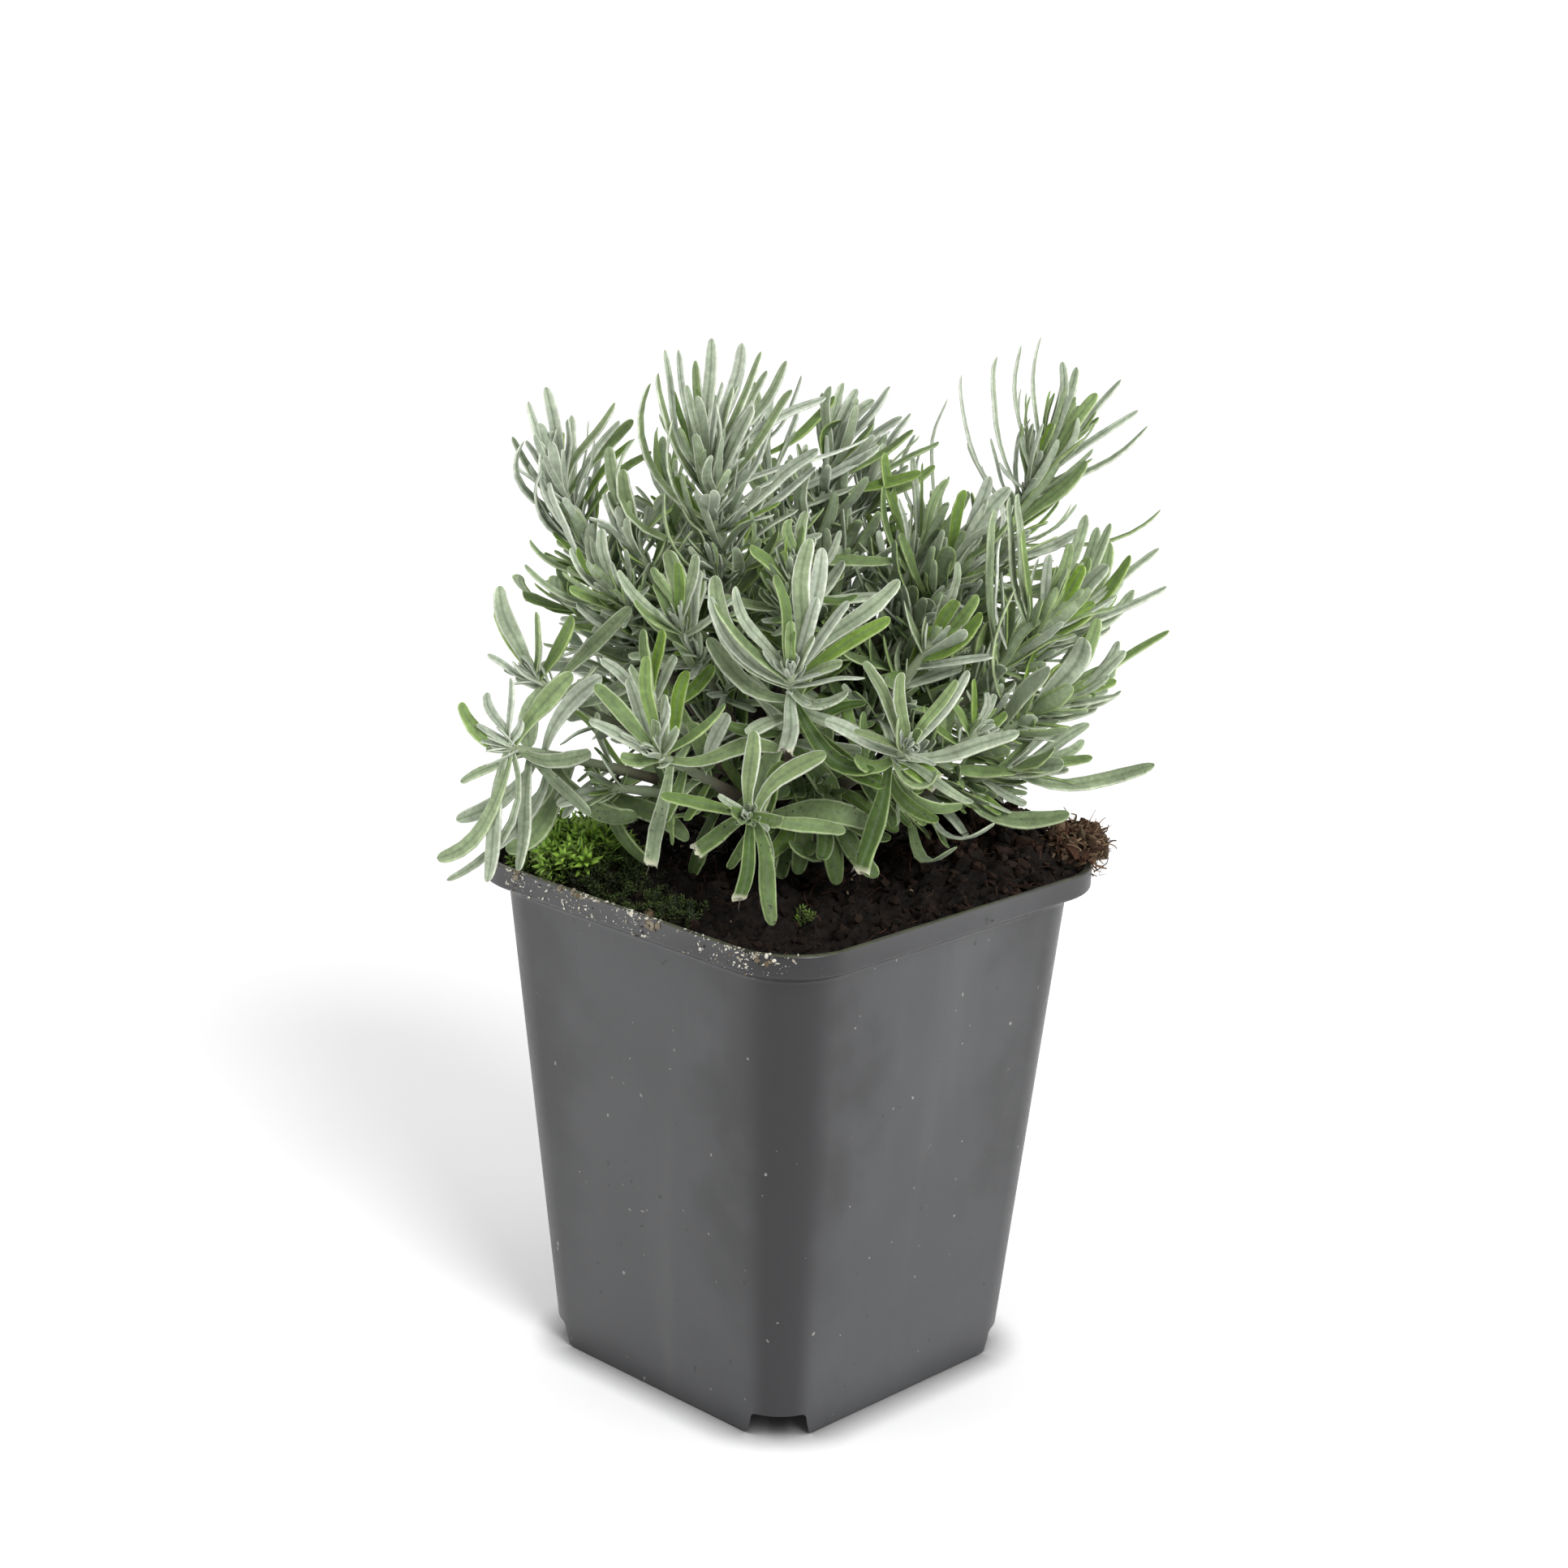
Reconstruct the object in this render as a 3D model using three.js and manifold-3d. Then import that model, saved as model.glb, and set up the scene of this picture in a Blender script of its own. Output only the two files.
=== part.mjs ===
// A young lavender in a square nursery pot: pot, soil, moss, woody base and leafy shoots.
// Millimetres, +Z up, origin at the middle of the pot's underside, pot sides along X and Y.
// Plant places are given in the corner frame: x to the right, y to the back and z up, seen
// with one corner of the pot in front. It is the pot's own frame turned by CORNER_TURN.
import * as THREE from 'three';
import { mergeVertices } from 'three/addons/utils/BufferGeometryUtils.js';
import Module from 'manifold-3d';

const wasm = await Module();
wasm.setup();

// Pot
const POT_HEIGHT = 100.2;
const RIM_HALF = 45;
const RIM_ROUND = 14.3;
const BODY_TOP_HALF = 41;
const BODY_TOP_ROUND = 12;
const FOOT_HALF = 33;
const FOOT_ROUND = 9.4;
const COLLAR_HEIGHT = 4.2;
const SHOULDER_RISE = 2.1;
const WALL = 1.2;
const CORNER_STEPS = 4;
const CUTTER_PAST = 1;

// Corner notches with their drain holes
const NOTCH_HEIGHT = 4.8;
const NOTCH_HALF_TOP = 4.8;
const NOTCH_HALF_FOOT = 6.7;
const NOTCH_INNER = 33;
const NOTCH_OUTER = 50;
const DRAIN_RADIUS = 2.4;
const DRAIN_REACH = 37;
const DRAIN_SIDES = 12;

// Soil, with its heap and clump of coir at the right-hand corner
const GAP = 0.3;
const SOIL_LEVEL = 96.9;
const SOIL_RINGS = 6;
const SOIL_RELIEF = 1.3;
const SOIL_WAVE = [0.71, 0.63];
const SOIL_RIPPLE = [1.9, 1.3];
const SOIL_RIPPLE_SHARE = 0.6;
const SOIL_REACH = 0.985;
const SOIL_EDGE_DROP = 0.5;
const RELIEF_FADE = 4;
const HEAP_PLACE = [38, 1];
const HEAP_HEIGHT = 11.5;
const HEAP_SPREAD = 11;
const HEAP_AT_WALL = 0.35;
const HEAP_FADE = 3;
const CLUMP_PLACE = [54.5, 2, 103];
const CLUMP_SIZE = [7, 6.4, 4.6];
const CLUMP_ROUGH = 0.28;
const CLUMP_WAVE = [7, 6, 4];

// Moss cushion along the left-hand wall
const MOSS_PLACE = [-27, -30.5];
const MOSS_SIZE = [15.5, 11];
const MOSS_HEIGHT = 7;
const MOSS_SPIKE = 2.6;
const MOSS_SPIKE_SHARES = [0.6, 1.4];
const MOSS_SINK = 1;
const MOSS_ROOT = 4;
const MOSS_SEED = 7;
const MOSS_RINGS = 6;
const MOSS_SPOKES = 22;

// Woody base and the shoots that leave it
const CORNER_TURN = Math.PI / 4;
const HUB = [0, 4, 104.5];
const TRUNK_FOOT = 88;
const TRUNK_RADIUS = 3.6;
const TRUNK_FOOT_SHARE = 0.8;
const KNOT_RADIUS = 5.5;
const TRUNK_SIDES = 8;
const BOUGH_FOOT_RADIUS = 0.6;
const BOUGH_RADIUS = 1.4;
const BOUGH_SECTIONS = 2;
const BOUGH_SIDES = 3;
const STEM_RADIUS = 1.25;
const STEM_TIP_RADIUS = 0.8;
const STEM_SECTIONS = 3;
const STEM_SIDES = 3;

// Leaves: stations along the blade, each with its share of the half width, for curved
// blades and for short plain ones, and the depth of the keel with its least share
const STATIONS = [[0, 0.2], [0.5, 1], [0.88, 0.82]];
const PLAIN_STATIONS = [[0, 0.2], [0.7, 1]];
const PLAIN_LENGTH = 24;
const PLAIN_TURN = 0.45;
const CUT_WIDTH = 0.82;
const KEEL = 1.15;
const KEEL_LEAST = 0.6;
const TIP_DROP = KEEL / 3;
const FACING = [0, -0.9, 0.8];
const STEEP = 0.12;
const CLEAR = 0.35;
const FREE_FROM = 0.3;

// How leaf pairs stand along their shoot, in degrees, with the spread of the draws
const OPEN_FOOT = 78;
const OPEN_TIP = 20;
const OPEN_SPREAD = 16;
const PAIR_TURN = 90;
const TURN_SPREAD = 30;
const SHOOT_TURN = 47;
const FIRST_PAIR = 0.1;
const CROWN_SEAT = 0.985;
const UNDERSIDE_HINT = [0.3, 0.2, -1];
const BEND_SHARES = [0.6, 1.4];
const LENGTH_SHARES = [0.8, 1.15];
const WIDTH_SHARES = [0.85, 1.15];
const TIP_SHORTER = 0.3;
const TIP_NARROWER = 0.2;

// What a leaf tries, in this order, until it clears all other pieces
const LENGTH_TRIES = [1, 0.85, 0.7, 0.55];
const SWING_TRIES = [0, 9, -9, 18, -18, 30, -30];
const TILT_TRIES = [0, -10, 10, -20, 20];

// Shoots. tip: crown in the corner frame. lift: height of the stem's bend, 0.5 is straight.
// wood: share of the stem that is a bough. pairs, upto: leaf pairs and the share of the stem
// they reach. leaf, blade: their length and width. bend: their curve, below 0 towards the stem.
// posed: leaves seen one by one, each as
// [share of the stem, clock angle from straight up, turn to the front, length, rise, width].
const SHOOTS = [
  {
    name: 'shoot_top_left', tip: [-17, -5, 174.5], lift: 0.45, wood: 0.4,
    pairs: 3, upto: 0.6, leaf: 21, blade: 3.6, bend: 20,
    posed: [
      [1, 2, 5, 26, 5, 3.2],
      [1, 14, -22, 26, 5, 3.4],
      [1, -7, -25, 22, 0, 2.6],
      [0.97, -12, 20, 21, 6, 2.2],
      [0.97, 28, -22, 24, -8, 2.4],
      [0.95, 9, 30, 20, 0, 3],
      [0.93, -21, 8, 25, 50, 2.6],
      [0.93, 41, -5, 24, -12, 2.6],
      [0.9, 20, 18, 21, 5, 3.6],
      [0.87, -2, 42, 16, 0, 2.8],
      [0.84, 34, 22, 22, 8, 4.2],
      [0.8, 48, 10, 24, 22, 3.8],
      [0.76, 57, -12, 22, 10, 2.8],
      [0.72, -22, 14, 28, 62, 2.6],
      [0.66, 76, 0, 19, 12, 3],
      [0.6, 53, 18, 25, 62, 3.6],
      [0.56, -34, 20, 25, 88, 2.6],
    ],
  },
  {
    name: 'shoot_left_top', tip: [-43.5, 5, 169], lift: 0.42, wood: 0.4,
    pairs: 3, upto: 0.6, leaf: 19, blade: 3.4, bend: 15,
    posed: [
      [1, -10, 0, 20, 5, 3],
      [1, 8, 12, 15, 0, 2.4],
      [1, -19, 10, 19, 25, 3],
      [0.97, 1, -20, 16, 0, 2.4],
      [0.96, -14, 30, 14, 5, 3],
      [0.94, 26, 5, 19, -22, 2.2],
      [0.9, 34, -14, 18, -15, 2.2],
      [0.86, 38, 10, 20, -12, 2.8],
      [0.84, -40, -10, 22, 25, 2.2],
      [0.78, -30, -30, 17, 20, 4],
      [0.74, -29, 10, 24, 55, 3.2],
      [0.64, -24, 18, 23, 75, 3.8],
    ],
  },
  {
    name: 'shoot_left_small', tip: [-30, -3, 161], lift: 0.5, wood: 0.5,
    pairs: 2, upto: 0.5, leaf: 15, blade: 3, bend: 10,
    posed: [
      [1, -8, 10, 15, 5, 3.6],
      [1, 34, -10, 13, 0, 2.6],
      [0.95, -24, 20, 14, 8, 2.6],
      [0.9, -20, 36, 11, 5, 2.4],
      [0.85, -30, 0, 16, 42, 2.4],
      [0.8, 26, -24, 18, 0, 4.4],
      [0.7, 44, 6, 16, 10, 3],
    ],
  },
  {
    name: 'shoot_centre_back_1', tip: [-6, 16, 178], lift: 0.5, wood: 0.4,
    pairs: 6, upto: 0.97, leaf: 19, blade: 3, bend: -8,
  },
  {
    name: 'shoot_centre_back_2', tip: [6, 16, 173], lift: 0.6, wood: 0.4,
    pairs: 5, upto: 0.97, leaf: 20, blade: 3.4, bend: -6,
    posed: [
      [1, 38, 0, 19, 0, 3.2],
      [0.97, 50, 12, 18, 6, 3.4],
      [0.92, 62, 0, 19, 8, 3.2],
      [0.86, 74, 14, 19, 12, 3.6],
    ],
  },
  {
    name: 'shoot_centre_back_3', tip: [13, 19, 168], lift: 0.6, wood: 0.4,
    pairs: 5, upto: 0.95, leaf: 17, blade: 3.2, bend: -8,
    posed: [
      [1, 28, 0, 17, 0, 2.6],
      [1, 52, 5, 17, -6, 2.2],
      [0.92, 66, -8, 16, 5, 3],
    ],
  },
  {
    name: 'shoot_back_thin', tip: [23, 10, 157], lift: 0.5, wood: 0.45,
    pairs: 2, upto: 0.6, leaf: 15, blade: 2.8, bend: 0,
    posed: [
      [1, -3, -10, 19, 24, 2],
      [1, 20, 5, 16, -18, 2.4],
      [0.95, -10, 15, 14, 6, 2.4],
      [0.9, -20, 4, 18, 34, 2.6],
      [0.8, -30, -12, 15, 20, 3.4],
      [0.75, 14, -30, 14, 0, 3.2],
    ],
  },
  {
    name: 'shoot_right_top', tip: [46.5, 15, 175], lift: 0.4, wood: 0.4,
    pairs: 3, upto: 0.55, leaf: 18, blade: 3.4, bend: 5,
    posed: [
      [1, -3, 0, 24, 22, 1.9],
      [1, 8, 10, 20, 0, 2.6],
      [1, 19, -12, 19, 0, 2.8],
      [0.97, -13, 4, 25, 38, 1.9],
      [0.95, 31, 14, 20, 0, 3.6],
      [0.93, 39, -6, 25, -5, 2],
      [0.9, 36, 32, 17, 0, 3.2],
      [0.9, 52, 0, 25, 12, 2.2],
      [0.86, -10, 4, 28, 52, 1.9],
      [0.84, 56, 4, 28, 22, 2.6],
      [0.8, -22, -2, 29, 56, 1.9],
      [0.72, 45, 10, 21, 5, 4.2],
      [0.68, 76, 0, 32, 55, 1.8],
      [0.44, 38, 24, 15, 5, 4.2],
    ],
  },
  {
    name: 'shoot_right_inner', tip: [28, 0, 157], lift: 0.5, wood: 0.4,
    pairs: 3, upto: 0.6, leaf: 17, blade: 3.6, bend: 5,
    posed: [
      [1, 10, 10, 16, 0, 3],
      [1, 25, -10, 19, 0, 3.4],
      [0.96, 34, 6, 21, 0, 4],
      [0.92, 45, 22, 19, 5, 2.6],
      [0.88, 12, 40, 15, 5, 4.4],
      [0.82, -22, 10, 14, 20, 3.4],
      [0.76, 54, 2, 17, 5, 3.2],
      [0.64, 20, 50, 13, 5, 4.4],
    ],
  },
  {
    name: 'shoot_right', tip: [45, -5, 146], lift: 0.46, wood: 0.4,
    pairs: 3, upto: 0.55, leaf: 18, blade: 3.6, bend: 0,
    posed: [
      [1, 7, 10, 16, 5, 2.8],
      [1, 19, 0, 18, 0, 3],
      [1, 28, 16, 17, 0, 3.6],
      [0.96, -4, 10, 22, 22, 2.6],
      [0.95, 35, -10, 19, 0, 4],
      [0.92, 43, 8, 22, 5, 4.4],
      [0.9, 30, -24, 20, 5, 2.4],
      [0.97, 55, -10, 29, 10, 2.2],
      [0.83, -3, 20, 26, 22, 2.4],
      [0.95, 68, -10, 28, 20, 2.2],
      [0.72, 54, 26, 18, 5, 3.2],
    ],
  },
  {
    name: 'shoot_right_low', tip: [47, -9, 133], lift: 0.47, wood: 0.4,
    pairs: 2, upto: 0.5, leaf: 17, blade: 3.6, bend: 5,
    posed: [
      [1, 66, 0, 14, 5, 2.6],
      [1, 75, 12, 14, 5, 2.6],
      [0.97, 54, -8, 14, 5, 2.6],
      [0.95, 61, -18, 30, 28, 2.1],
      [0.9, 26, 24, 21, 5, 5],
      [0.86, 82, -10, 14, 10, 2.6],
      [0.82, 80, 26, 8, 5, 4.4],
      [0.8, -4, 16, 29, 34, 2.4],
      [0.7, 92, 0, 13, 20, 2.6],
    ],
  },
  {
    name: 'shoot_right_bottom', tip: [41, -12, 122], lift: 0.5, wood: 0.42,
    pairs: 2, upto: 0.5, leaf: 16, blade: 3.6, bend: 5,
    posed: [
      [1, 82, 0, 15, 5, 2.6],
      [1, 70, -14, 15, 10, 2.6],
      [0.97, 90, -12, 29, 35, 3.6],
      [0.94, 56, 36, 13, 10, 4.6],
      [0.9, 92, -16, 14, 24, 2.2],
      [0.84, 74, 26, 15, 5, 4.8],
      [0.76, 114, 5, 10, 40, 2.2],
      [0.66, 128, 20, 9, 30, 3],
    ],
  },
  {
    name: 'shoot_front_right', tip: [20, -39, 132.5], lift: 0.55, wood: 0.35,
    pairs: 2, upto: 0.45, leaf: 15, blade: 3.6, bend: 15,
    posed: [
      [1, -6, 10, 15, 5, 2.8],
      [1, 30, 12, 16, -8, 2.4],
      [0.98, -23, 5, 18, 14, 2.6],
      [0.98, 36, -6, 18, 16, 2.6],
      [0.96, -12, 38, 11, 5, 2.4],
      [0.94, 24, 40, 8, 5, 2],
      [0.92, -66, 4, 15, 8, 3.4],
      [0.88, 73, 10, 22, 16, 3.6],
      [0.85, 108, 30, 9, 5, 4.6, 'cut'],
      [0.85, -82, 25, 9, 95, 3.4],
      [0.8, 195, 12, 21, 0, 4, 'cut'],
      [0.78, 138, 8, 15, 72, 3.2],
      [0.74, 117, 4, 17, 76, 2.6],
    ],
  },
  {
    name: 'shoot_front_centre', tip: [-1, -37, 145.5], lift: 0.5, wood: 0.35,
    pairs: 3, upto: 0.6, leaf: 17, blade: 3.8, bend: 20,
    posed: [
      [1, 6, 6, 25, 2, 4.2],
      [1, -9, 14, 19, 3, 2.6],
      [1, 13, -16, 23, 0, 3.8],
      [1, -2, 32, 13, 0, 2.4],
      [0.98, 35, 10, 18, -5, 2.6],
      [0.98, -33, 8, 20, 4, 3],
      [0.96, 20, 34, 12, 0, 2.4],
      [0.95, -42, 16, 21, 22, 3.2],
      [0.94, 45, -4, 26, 4, 3.8],
      [0.93, 50, 16, 22, 4, 3.8],
      [0.92, -44, 0, 22, 52, 3],
      [0.9, -38, -12, 26, 74, 4.6],
      [0.88, 84, 26, 12, 92, 3],
      [0.86, 187, 30, 11, 0, 3.6, 'cut'],
      [0.82, 122, 10, 21, 48, 4],
      [0.78, -56, -10, 19, 60, 4.4],
      [0.74, 130, 4, 24, 58, 4.4],
    ],
  },
  {
    name: 'shoot_front_low', tip: [-8, -47, 122.5], lift: 0.55, wood: 0.32,
    pairs: 1, upto: 0.3, leaf: 14, blade: 3.6, bend: 15,
    posed: [
      [1, 2, 8, 16, 0, 3.4],
      [1, 80, 52, 10, 5, 3],
      [0.98, -60, 50, 6, 5, 3],
      [0.97, 98, 4, 17, 0, 3.4],
      [0.95, -77, 2, 16, 4, 3],
      [0.93, 187, 14, 15, 0, 3, 'cut'],
      [0.9, 168, 10, 20, 10, 3.6],
      [0.88, -122, 4, 12, 0, 3.6, 'cut'],
      [0.8, 30, -4, 17, -48, 4],
      [0.76, 172, -8, 14, 0, 3.4],
    ],
  },
  {
    name: 'shoot_front_left', tip: [-24.5, -37, 130.5], lift: 0.52, wood: 0.35,
    pairs: 2, upto: 0.5, leaf: 15, blade: 3.6, bend: 15,
    posed: [
      [1, -8, 10, 18, 0, 3.2],
      [1, 8, 24, 12, 0, 2.4],
      [0.98, 49, 12, 16, 4, 2.6],
      [0.98, -41, 4, 17, 12, 3.4],
      [0.97, 24, 38, 9, 0, 2.4],
      [0.96, -26, -18, 15, 10, 2.8],
      [0.94, -60, 12, 15, 6, 3],
      [0.92, 14, -20, 16, 5, 3],
      [0.9, -82, 24, 9, 10, 3],
      [0.88, 82, 4, 20, 14, 3.6],
      [0.86, 191, 14, 19, 0, 3.2, 'cut'],
      [0.72, 200, 30, 11, 30, 3.2],
    ],
  },
  {
    name: 'shoot_left', tip: [-52.5, -19, 126], lift: 0.6, wood: 0.35,
    pairs: 2, upto: 0.5, leaf: 14, blade: 3.6, bend: 15,
    posed: [
      [1, 2, 10, 14, 28, 1.9],
      [1, 14, 22, 7, 0, 2.4],
      [0.98, -22, 6, 12, 30, 2.2],
      [0.98, 38, 16, 21, -54, 4.4],
      [0.96, -50, -6, 14, 105, 3],
      [0.95, 86, 16, 14, 60, 3.4],
      [0.93, -118, 6, 13, -15, 2.4],
      [0.92, 130, 22, 17, 5, 2.8],
      [0.9, 184, 14, 22, 0, 3.6],
      [0.86, -134, -6, 21, 32, 3.6],
      [0.82, -146, 12, 21, 46, 3],
      [0.7, -150, -14, 18, 10, 4.4],
      [0.64, 106, 12, 24, 30, 4.4],
      [0.6, 118, 20, 22, 42, 3.4],
    ],
  },
  {
    name: 'shoot_left_mid', tip: [-48.5, -9, 137], lift: 0.5, wood: 0.4,
    pairs: 2, upto: 0.5, leaf: 15, blade: 3.6, bend: 10,
    posed: [
      [1, -20, 0, 18, 28, 4],
      [1, 4, 10, 13, 8, 2.2],
      [0.97, 28, 14, 15, 0, 4.8],
      [0.96, -62, 10, 11, 24, 1.9],
      [0.94, -34, -14, 16, 26, 3.4],
      [0.92, -50, 30, 9, 5, 2.2],
      [0.9, 45, 6, 22, 4, 3.6],
      [0.86, 36, -24, 18, 5, 3.4],
      [0.82, -72, -8, 9, 10, 2.4],
      [0.7, 58, 26, 17, 8, 4.2],
    ],
  },
  {
    name: 'shoot_left_inner', tip: [-34, -4, 152], lift: 0.48, wood: 0.45,
    pairs: 2, upto: 0.5, leaf: 14, blade: 3.4, bend: 10,
    posed: [
      [1, -40, 8, 12, 56, 2.2],
      [1, -10, 14, 13, 5, 3],
      [0.95, -70, 0, 19, 56, 1.9],
      [0.9, -36, -10, 15, 40, 3.2],
      [0.86, -54, 16, 12, 10, 4],
      [0.8, -8, 42, 13, 0, 4.4],
      [0.74, 40, 10, 14, 10, 3.4],
      [0.66, -68, 10, 15, 40, 3.2],
    ],
  },
  {
    name: 'shoot_centre_left', tip: [-21.5, -20, 150], lift: 0.5, wood: 0.4,
    pairs: 2, upto: 0.5, leaf: 15, blade: 3.6, bend: 10,
    posed: [
      [1, -2, 10, 12, 0, 3],
      [1, 17, 14, 15, 0, 3],
      [0.97, -47, 8, 16, 4, 3.4],
      [0.95, -52, 26, 12, 4, 2.6],
      [0.92, 48, 12, 13, 8, 3],
      [0.88, -14, -22, 17, 5, 4.8],
      [0.84, 4, -34, 16, 5, 4.8],
      [0.7, -80, 10, 13, 20, 3.4],
    ],
  },
  {
    name: 'shoot_centre_left_low', tip: [-26, -27, 138], lift: 0.5, wood: 0.4,
    pairs: 2, upto: 0.5, leaf: 13, blade: 3, bend: 5,
    posed: [
      [1, -5, 12, 14, 0, 3],
      [1, 8, 4, 13, 0, 2.8],
      [0.96, 20, 14, 10, 0, 2.6],
      [0.94, -48, 10, 13, 8, 2.8],
      [0.9, -30, 30, 12, 5, 2.4],
      [0.84, 44, -8, 12, 10, 3.2],
    ],
  },
  {
    name: 'shoot_centre', tip: [-1, -17, 160], lift: 0.5, wood: 0.4,
    pairs: 3, upto: 0.7, leaf: 16, blade: 3.4, bend: 10,
    posed: [
      [1, -4, 10, 10, 0, 2.8],
      [1, 12, 0, 11, 0, 2.8],
      [0.97, 28, 20, 9, 0, 2.6],
      [0.9, -40, 24, 12, 10, 4.2],
      [0.84, 88, 4, 18, 4, 3.6],
      [0.78, -84, 6, 15, 6, 3.4],
      [0.7, 40, 10, 15, 10, 4],
    ],
  },
  {
    name: 'shoot_young', tip: [33.5, -22, 131], lift: 0.5, wood: 0.45,
    pairs: 2, upto: 0.6, leaf: 12, blade: 3, bend: 10,
    posed: [
      [1, -5, 8, 11, 0, 2],
      [1, 8, 16, 9, 0, 2],
      [0.96, 24, 4, 9, 0, 2.2],
      [0.95, -24, 14, 8, 5, 2],
      [0.88, 46, 20, 10, 10, 2.4],
      [0.84, -46, 14, 11, 10, 2.6],
    ],
  },
  {
    name: 'shoot_right_centre', tip: [25, -14, 146], lift: 0.5, wood: 0.4,
    pairs: 3, upto: 0.6, leaf: 15, blade: 3.6, bend: 10,
    posed: [
      [1, 25, 16, 10, 0, 3.4],
      [1, 16, -4, 16, 22, 2.2],
      [0.95, 40, 6, 14, 5, 3],
      [0.92, -20, 20, 12, 10, 4.4],
      [0.88, 50, 24, 16, 5, 4.6],
      [0.8, 78, 10, 15, 5, 2.6],
      [0.72, -62, 12, 15, 12, 3.8],
    ],
  },
  {
    name: 'shoot_front_inner', tip: [5, -19, 120], lift: 0.62, wood: 0.35,
    pairs: 2, upto: 0.5, leaf: 15, blade: 4, bend: 25,
    posed: [
      [1, 168, 8, 19, -10, 4.6],
      [0.97, 146, 14, 20, 10, 4.4],
      [0.94, 192, 10, 17, -10, 4.2],
      [0.92, 122, 20, 17, 20, 4.2],
      [0.9, -128, 10, 16, 10, 4],
      [0.86, 60, 10, 16, 20, 4],
    ],
  },
  {
    name: 'shoot_left_low', tip: [-33, -20, 119], lift: 0.6, wood: 0.4,
    pairs: 3, upto: 0.9, leaf: 16, blade: 4.2, bend: 30,
  },
  {
    name: 'shoot_right_upper', tip: [38, 5, 158], lift: 0.48, wood: 0.4,
    pairs: 5, upto: 0.95, leaf: 17, blade: 3.4, bend: 0,
  },
  {
    name: 'shoot_left_back', tip: [-38, 13, 151], lift: 0.45, wood: 0.4,
    pairs: 5, upto: 0.95, leaf: 16, blade: 3.6, bend: 5,
  },
  {
    name: 'shoot_rear_left_top', tip: [-24, 28, 164], lift: 0.45, wood: 0.4,
    pairs: 6, upto: 0.97, leaf: 19, blade: 3.4, bend: 5,
  },
  {
    name: 'shoot_rear_top', tip: [2, 34, 161], lift: 0.45, wood: 0.4,
    pairs: 6, upto: 0.97, leaf: 20, blade: 3.4, bend: -5,
  },
  {
    name: 'shoot_rear_right_top', tip: [28, 33, 156], lift: 0.45, wood: 0.4,
    pairs: 6, upto: 0.97, leaf: 19, blade: 3.4, bend: 5,
  },
  {
    name: 'shoot_rear_left', tip: [-42, 28, 141], lift: 0.42, wood: 0.4,
    pairs: 5, upto: 0.97, leaf: 18, blade: 3.6, bend: 15,
  },
  {
    name: 'shoot_rear_mid', tip: [-14, 44, 142], lift: 0.42, wood: 0.4,
    pairs: 5, upto: 0.97, leaf: 19, blade: 3.8, bend: 15,
  },
  {
    name: 'shoot_rear_right', tip: [19, 48, 138], lift: 0.42, wood: 0.4,
    pairs: 5, upto: 0.97, leaf: 18, blade: 3.8, bend: 15,
  },
  {
    name: 'shoot_rear_corner', tip: [44, 34, 137], lift: 0.42, wood: 0.4,
    pairs: 5, upto: 0.97, leaf: 17, blade: 3.6, bend: 10,
  },
  {
    name: 'shoot_rear_left_low', tip: [-38, 40, 124], lift: 0.5, wood: 0.35,
    pairs: 4, upto: 0.97, leaf: 17, blade: 4, bend: 30,
  },
  {
    name: 'shoot_rear_low', tip: [2, 55, 122], lift: 0.5, wood: 0.35,
    pairs: 4, upto: 0.97, leaf: 17, blade: 4, bend: 30,
  },
];

// Withered tufts low on the woody base, in the same terms
const WITHERED = [
  {
    name: 'withered_right', tip: [32, 5, 114], lift: 0.7, wood: 0.5,
    pairs: 2, upto: 0.9, leaf: 9, blade: 3, bend: 70,
  },
  {
    name: 'withered_left', tip: [-33, -3, 114], lift: 0.7, wood: 0.5,
    pairs: 2, upto: 0.9, leaf: 9, blade: 3, bend: 70,
  },
];

const UP = new THREE.Vector3(0, 0, 1);

function material(colour, roughness) {
  return new THREE.MeshStandardMaterial({ color: colour, roughness, metalness: 0 });
}

function radians(degrees) {
  return (degrees * Math.PI) / 180;
}

// Seeded draws, the same on every run
function draws(seed) {
  let state = seed >>> 0;
  return () => {
    state = (state + 0x6d2b79f5) >>> 0;
    let t = state;
    t = Math.imul(t ^ (t >>> 15), t | 1);
    t ^= t + Math.imul(t ^ (t >>> 7), t | 61);
    return ((t ^ (t >>> 14)) >>> 0) / 4294967296;
  };
}

function between([low, high], draw) {
  return low + (high - low) * draw;
}

// Turns a place or direction from the corner frame into the pot's frame
function place(x, y, z) {
  return new THREE.Vector3(x, y, z).applyAxisAngle(UP, CORNER_TURN);
}

// Solids from triangles, and back
function solidOf(points, faces) {
  const mesh = new wasm.Mesh({
    numProp: 3,
    vertProperties: new Float32Array(points.flatMap((p) => [p.x, p.y, p.z])),
    triVerts: new Uint32Array(faces.flat()),
  });
  return new wasm.Manifold(mesh);
}

function solidFrom(geometry) {
  const bare = geometry.clone();
  bare.deleteAttribute('normal');
  bare.deleteAttribute('uv');
  const merged = mergeVertices(bare, 1e-4);
  const mesh = new wasm.Mesh({
    numProp: 3,
    vertProperties: new Float32Array(merged.attributes.position.array),
    triVerts: new Uint32Array(merged.index.array),
  });
  return new wasm.Manifold(mesh);
}

function geometryFrom(solid) {
  const mesh = solid.getMesh();
  const geometry = new THREE.BufferGeometry();
  geometry.setAttribute('position', new THREE.BufferAttribute(mesh.vertProperties, mesh.numProp));
  geometry.setIndex(new THREE.BufferAttribute(mesh.triVerts, 1));
  geometry.computeVertexNormals();
  return geometry;
}

// The largest body of a solid, without the scraps that a cut leaves
function mainBody(solid) {
  const bodies = solid.decompose();
  return bodies.reduce((a, b) => (b.volume() > a.volume() ? b : a));
}

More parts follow.
